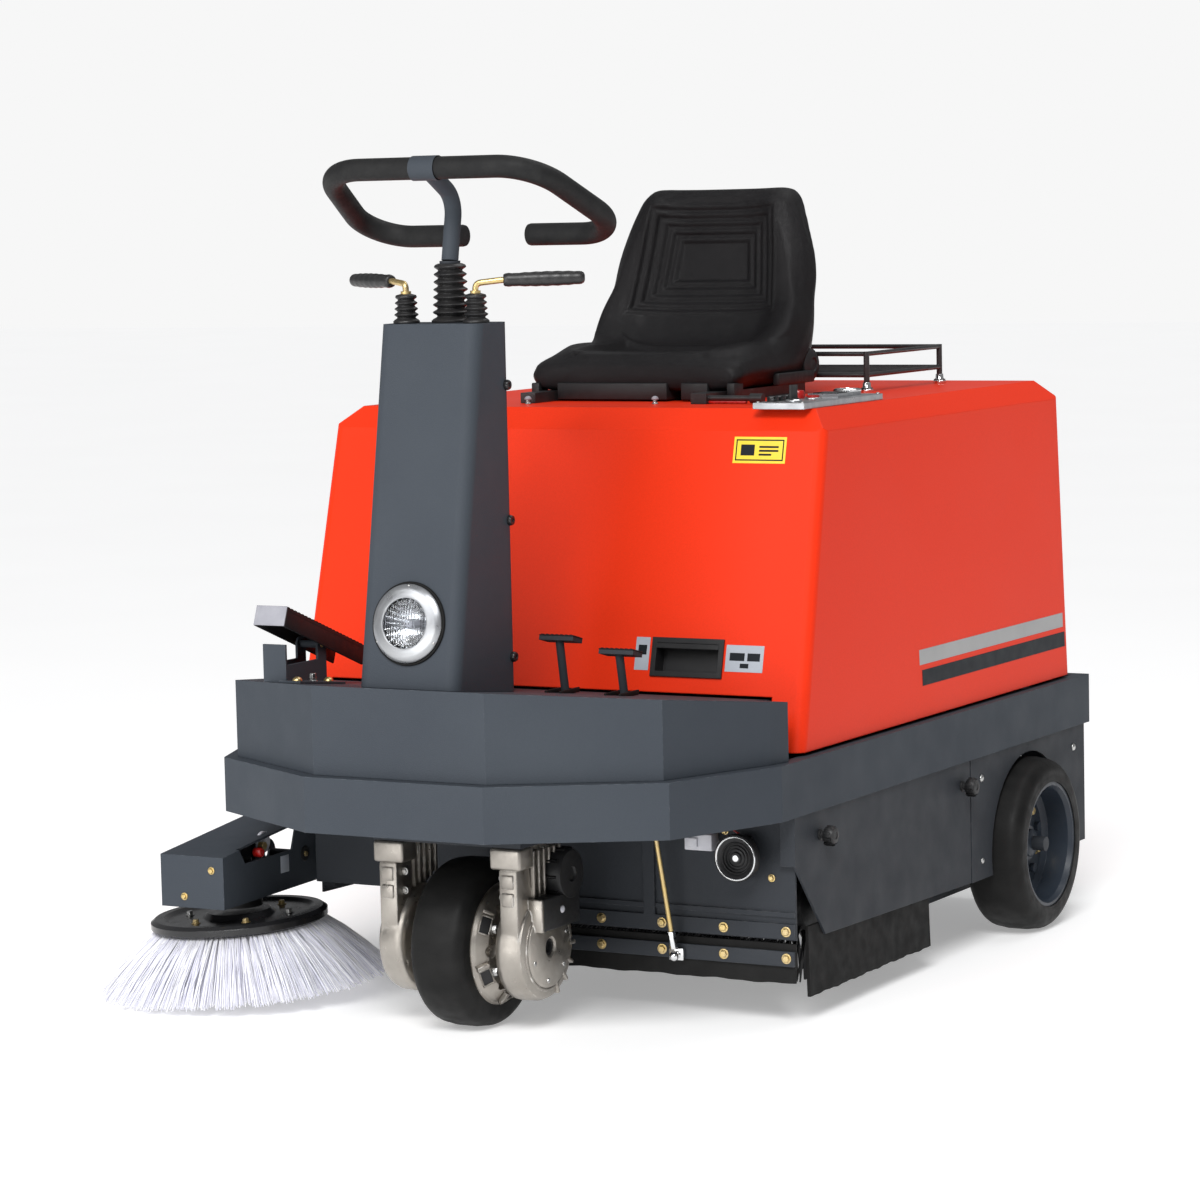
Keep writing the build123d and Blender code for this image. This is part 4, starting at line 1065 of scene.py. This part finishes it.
def make_lift_rod():
    low, high = Vector((268.0, 366.0, 112.0)), Vector((237.0, 333.0, 418.0))
    way = high - low
    rod = Shape().tube([low + way * 0.02, low + way * 0.5, high], 4.0)
    rod.make("lift_rod_bar", brass_zinc, "lift_rod", "flap_lift_rod")
    ends = Shape().lathe([(4, 0), (6.3, 0), (6.3, 26), (5.4, 28), (4, 28)], low, way, 6)
    ends.lathe([(4, 0), (6.6, 0), (7.2, 2), (7.2, 40), (6.6, 42), (4, 42)], low + way * 0.62, way, 28)
    ends.make("lift_rod_ends", chrome, "lift_rod")


make_flap()
make_lift_rod()


# ---- horn, headlight and bulkhead fittings ----
def make_horn():
    centre = (390, 342, 265)
    body = Shape().lathe([(0, 3), (8, 3), (10, 6), (22, 8), (26, 5), (30, 2), (36, 1), (37.5, 4), (37, 14),
                          (30, 22), (24, 36), (0, 38)], centre, Y, 72)
    for radius in (14, 19, 24):
        body.lathe([(radius - 1, 5.2), (radius, 4.2), (radius + 1, 5.2), (radius, 8)], centre, Y, 64)
    body.block((381, 374, 240), (399, 388.6, 292), 2.0)
    body.make("horn_body", black_plastic, "chassis", "horn")
    trim = Shape().lathe([(31.5, 1.5), (33.2, 0), (35, 1), (34.5, 3.5), (32, 3.5)], centre, Y, 72)
    trim.lathe([(0, 2), (5, 2), (5.6, 3), (5.6, 5), (0, 5)], centre, Y, 28)
    trim.make("horn_trim", chrome, "chassis")
    relay = Shape().block((292, 362, 270), (340, 388, 296), 2.0)
    relay.block((298, 358, 276), (316, 363, 290), 1.0)
    relay.make("relay_block", white_plastic, "chassis")
    screws = Shape().bolt((350, 388, 300), (0, -1, 0), 5.0, 5.0)
    screws.bolt((430, 388, 230), (0, -1, 0), 4.5, 4.5)
    screws.make("relay_screws", brass_zinc, "chassis")
    wire = bend([(330, 366, 296), (330, 366, 308), (362, 380, 308), (386, 380, 292)], 9)
    Shape().tube(wire, 1.5, 10).make("relay_wire", red_plastic, "chassis")


def make_headlight_details():
    # The column's front leans back from (Y 26, Z 549) to (Y 118, Z 1096).
    slope = (118.0 - 26.0) / (1096.0 - 549.0)
    normal = Vector((0, -1, slope)).normalized()
    centre = Vector((0, 26.0 + slope * (647.0 - 549.0), 647.0))
    place = Matrix.Translation(centre) @ towards(normal)
    turned("headlight_gasket", rubber, "chassis", [(59, 0.2), (63.5, 0.2), (64, 2), (63, 4), (60.2, 4)],
           centre, normal, 72)
    turned("headlight_bulb", white_plastic, "chassis",
           [(0, -27), (9, -27), (9, -16), (6, -14), (7.5, -9), (8, -3), (6, 2), (3, 4), (0, 4.4)],
           centre, normal, 32)
    turned("headlight_rim", silver_plate, "chassis",
           [(38, 13.6), (38.6, 15.2), (41, 15.6), (47, 13.4), (50, 12.9), (55, 11.6), (60, 6.8), (60, 6.2),
            (49, 12.1), (45, 10.6)], centre, normal, 96)
    ribs, screws = Shape(), Shape()
    for angle in around(24):
        turn = place @ Matrix.Rotation(angle, 4, "Z") @ Matrix.Rotation(radians(-22), 4, "Y")
        ribs.block((18, -0.8, -25), (41, 0.8, -10), 0.3, turn)
    ribs.make("headlight_reflector_flutes", chrome, "chassis")
    for angle in around(3, 90):
        screws.dome(place @ Vector((57 * cos(angle), 57 * sin(angle), 8.6)), normal, 2.6, 1.6)
    screws.make("headlight_screws", steel, "chassis")


make_horn()
make_headlight_details()


# ---- pedals ----
PEDAL_X, PEDAL_Y = -272, 183
TOE_PEDALS = ((130, 603, "brake", "brake"), (235, 585, "flap_foot", "flap"))


def make_drive_pedal():
    turn = Matrix.Translation((PEDAL_X, PEDAL_Y, 604)) @ Matrix.Rotation(radians(-21), 4, "X")
    body = Shape().block((-29, -118, 10), (29, 118, 15), 1.2, turn)
    for low, high in ((-29, -25.5), (25.5, 29)):
        body.block((low, -118, -15), (high, 118, 12), 1.2, turn)
    body.block((-28, -117, -14), (28, -114, 13), 1.0, turn)
    body.make("drive_pedal_body", black_plastic, "accelerator", "drive_pedal")
    end = Shape().block((-28.4, -119.4, -14.4), (28.4, -117.8, 17.4), 0.7, turn)
    end.make("drive_pedal_end", pale_end, "accelerator")
    tread = Shape().block((-27.5, -117, 15), (27.5, 116, 16.8), 0.6, turn)
    for i in range(22):
        y = -112 + 10.4 * i
        tread.block((-26, y, 16.4), (26, y + 5, 18.2), 0.6, turn)
    tread.make("drive_pedal_tread", rubber, "accelerator")
    pins = Shape()
    for side in (-1, 1):
        pins.bolt((PEDAL_X + side * 21, PEDAL_Y, 592), (side, 0, 0), 3.6, 3.2)
    pins.make("drive_pedal_pins", brass_zinc, "chassis")


def make_toe_pads():
    frames = Shape()
    for x, z, body, name in TOE_PEDALS:
        turn = Matrix.Translation((x, 274, z)) @ Matrix.Rotation(radians(-14), 4, "X")
        pad = Shape().block((-30.5, -15.5, 3.0), (30.5, 15.5, 5.2), 0.8, turn)
        for i in range(7):
            pad.block((-28 + 8.4 * i, -14, 4.8), (-24 + 8.4 * i, 14, 6.4), 0.6, turn)
        pad.make(f"{name}_pedal_pad", rubber, body)
        for low, high in ((-15, -10.5), (10.5, 15)):
            frames.block((x + low, 245, 518), (x + high, 305, 526), 1.2)
    frames.make("toe_slot_frames", rubber, "chassis")


make_drive_pedal()
make_toe_pads()


# ---- films on the hood ----
HOOD_LOW, HOOD_TALL = 420.0, 912.0 - 420.0


def quad(place, first, second):
    """The corners of a rectangle between two pairs of coordinates, each put through place."""
    (a0, a1), (b0, b1) = first, second
    return [place(a, b) for a, b in ((a0, b0), (a1, b0), (a1, b1), (a0, b1))]


def hood_side(side):
    """The place of a point on the left (1) or right (-1) wall, from its Y and Z."""
    lean = (466.0 - 454.0) / HOOD_TALL
    return lambda y, z: Vector((side * (466.0 - lean * (z - HOOD_LOW)), y, z))


def hood_front(x, z):
    return Vector((x, 427.5 + (550.0 - 427.5) / HOOD_TALL * (z - HOOD_LOW), z))


def film(name, corners, out, material):
    shape = Shape().prism(corners, out * 0.05, out * 0.4)
    shape.make(name, material, "hood", slot="silver_panel")


def make_films():
    for side, name in ((1, "left"), (-1, "right")):
        wall, out = hood_side(side), Vector((side, 0, 0.0244))
        film(f"stripe_silver_{name}", quad(wall, (872, 1481), (507, 532)), out, label_silver)
        film(f"stripe_black_{name}", quad(wall, (881, 1487), (472, 498)), out, label_black)
    out = Vector((0, -0.97, 0.24))
    film("hood_label_small", quad(hood_front, (158, 183), (536, 587)), out, label_grey)
    film("hood_label_wide", quad(hood_front, (319, 385), (539, 580)), out, label_grey)
    film("hood_label_yellow", quad(hood_front, (299, 391), (860, 901)), out, label_yellow)
    marks = Shape()
    for x, z in (((303, 305), (864, 897)), ((385, 387), (864, 897)), ((303, 387), (864, 866)),
                 ((303, 387), (895, 897)), ((312, 336), (872, 889)), ((344, 378), (884, 887)),
                 ((344, 378), (878, 881)), ((344, 366), (872, 875)), ((326, 352), (556, 568)),
                 ((357, 379), (556, 568)), ((345, 360), (545, 552)), ((163, 178), (560, 575))):
        marks.prism(quad(hood_front, x, z), out * 0.4, out * 0.25)
    marks.make("hood_label_marks", label_black, "hood")


make_films()


# ---- fittings on the hood's top ----
TOP = 943.8
HOOD_PINS = ((-150, 673), (79, 692))


def make_console():
    chromes, blacks, reds, steels = Shape(), Shape(), Shape(), Shape()
    for profile, spot, steps in (
            ([(9.6, 0), (14, 0), (14.5, 1.5), (12, 3.5), (9.6, 3.5)], (372, 610, TOP + 10), 36),
            ([(11.2, 0), (15, 0), (15, 2), (13, 3), (11.2, 3)], (372, 680, TOP + 10), 36),
            ([(19, 0), (23, 0), (23, 3), (20, 5), (19, 3)], (370, 812, TOP + 15), 48)):
        chromes.lathe(profile, spot, Z, steps)
    blacks.block((349, 726, TOP + 15.6), (391, 769, TOP + 17.4), 1.0)
    blacks.disc(19, 1.4, (370, 812, TOP + 15), Z, 48)
    for i in range(3):
        blacks.block((334, 590 + 26 * i, TOP + 9), (348, 608 + 26 * i, TOP + 19), 2.0)
    reds.lathe([(0, 0), (10, 0), (11, 2), (11, 9), (9, 13), (0, 14)], (341, 690, TOP + 10), Z, 32)
    reds.block((150, 699, TOP + 0.6), (242, 706, TOP + 5), 1.5)
    for x in (331, 409):
        for y in (566, 844):
            steels.dome((x, y, TOP + 10), Z, 3.6, 2.2)
    pins = Shape()
    for x, y in HOOD_PINS:
        steels.lathe([(0, 0), (6, 0), (4, 2), (3.4, 8), (0, 8)], (x, y, TOP), Z, 20)
        pins.dome((x, y, TOP + 7.5), Z, 6.0, 5.5)
    steels.collar(4.6, 7, 5, (150, 702, 953), X, 20)
    chromes.make("console_rings", chrome, "hood")
    blacks.make("console_windows", black_gloss, "hood")
    reds.make("console_red_parts", red_plastic, "hood")
    steels.make("console_screws", steel, "hood")
    pins.make("hood_pin_caps", pale_end, "hood")
    feet = Shape()
    for x in (-280, 280):
        for y in (1076, 1375):
            feet.lathe([(5.2, 0), (11.5, 0), (11.5, 4), (7, 9), (6.5, 16), (5.2, 16)], (x, y, TOP), Z, 28)
    feet.make("rack_feet", chrome, "hood")


def make_knob(node, body, side):
    low, high = span(node)
    y, z = (low.y + high.y) / 2, (low.z + high.z) / 2
    base = min(abs(low.x), abs(high.x))
    knob = Shape().lathe([(0, 0), (8.5, 0), (8.5, 3), (6, 4), (6, 9), (12, 10.5), (14.5, 14), (14.7, 22),
                          (12, 27), (6, 27.6), (5, 26.6), (0, 26.6)], (side * base, y, z), (side, 0, 0), 40)
    for angle in around(10):
        turn = Matrix.Translation((side * (base + 18), y, z)) @ Matrix.Rotation(angle, 4, "X")
        knob.block((-5.5, -2.0, 12.6), (5.5, 2.0, 15.6), 1.2, turn)
    knob.make(f"{node}_grip", black_plastic, body, node)


make_console()
for wall, side in (("left", 1), ("right", -1)):
    for end in ("front", "rear"):
        make_knob(f"knob_{wall}_{end}", f"knob_{wall[0]}{end[0]}", side)


# ---- under the hood ----
def make_battery_details():
    caps, terminals, bars = Shape(), Shape(), Shape()
    for i in range(6):
        for j in range(4):
            caps.lathe([(0, 0), (15, 0), (16, 2), (16, 7), (13, 10), (5, 10), (4, 12), (0, 12)],
                       (-240 + 96 * i, 570 + 130 * j, 672), Z, 24)
    for i in range(5):
        for y in (632, 892):
            x = -192 + 96 * i
            bars.block((x - 30, y - 8, 672), (x + 30, y + 8, 679), 2.0)
    for x in (-220, 220):
        for y in (570, 960):
            terminals.lathe([(9.2, 0), (14, 0), (14, 8), (11, 10), (9.2, 10)], (x, y, 674), Z, 24)
    caps.make("battery_caps", black_gloss, "chassis")
    bars.make("battery_links", steel, "chassis")
    terminals.make("battery_terminals", brass_zinc, "chassis")


make_battery_details()
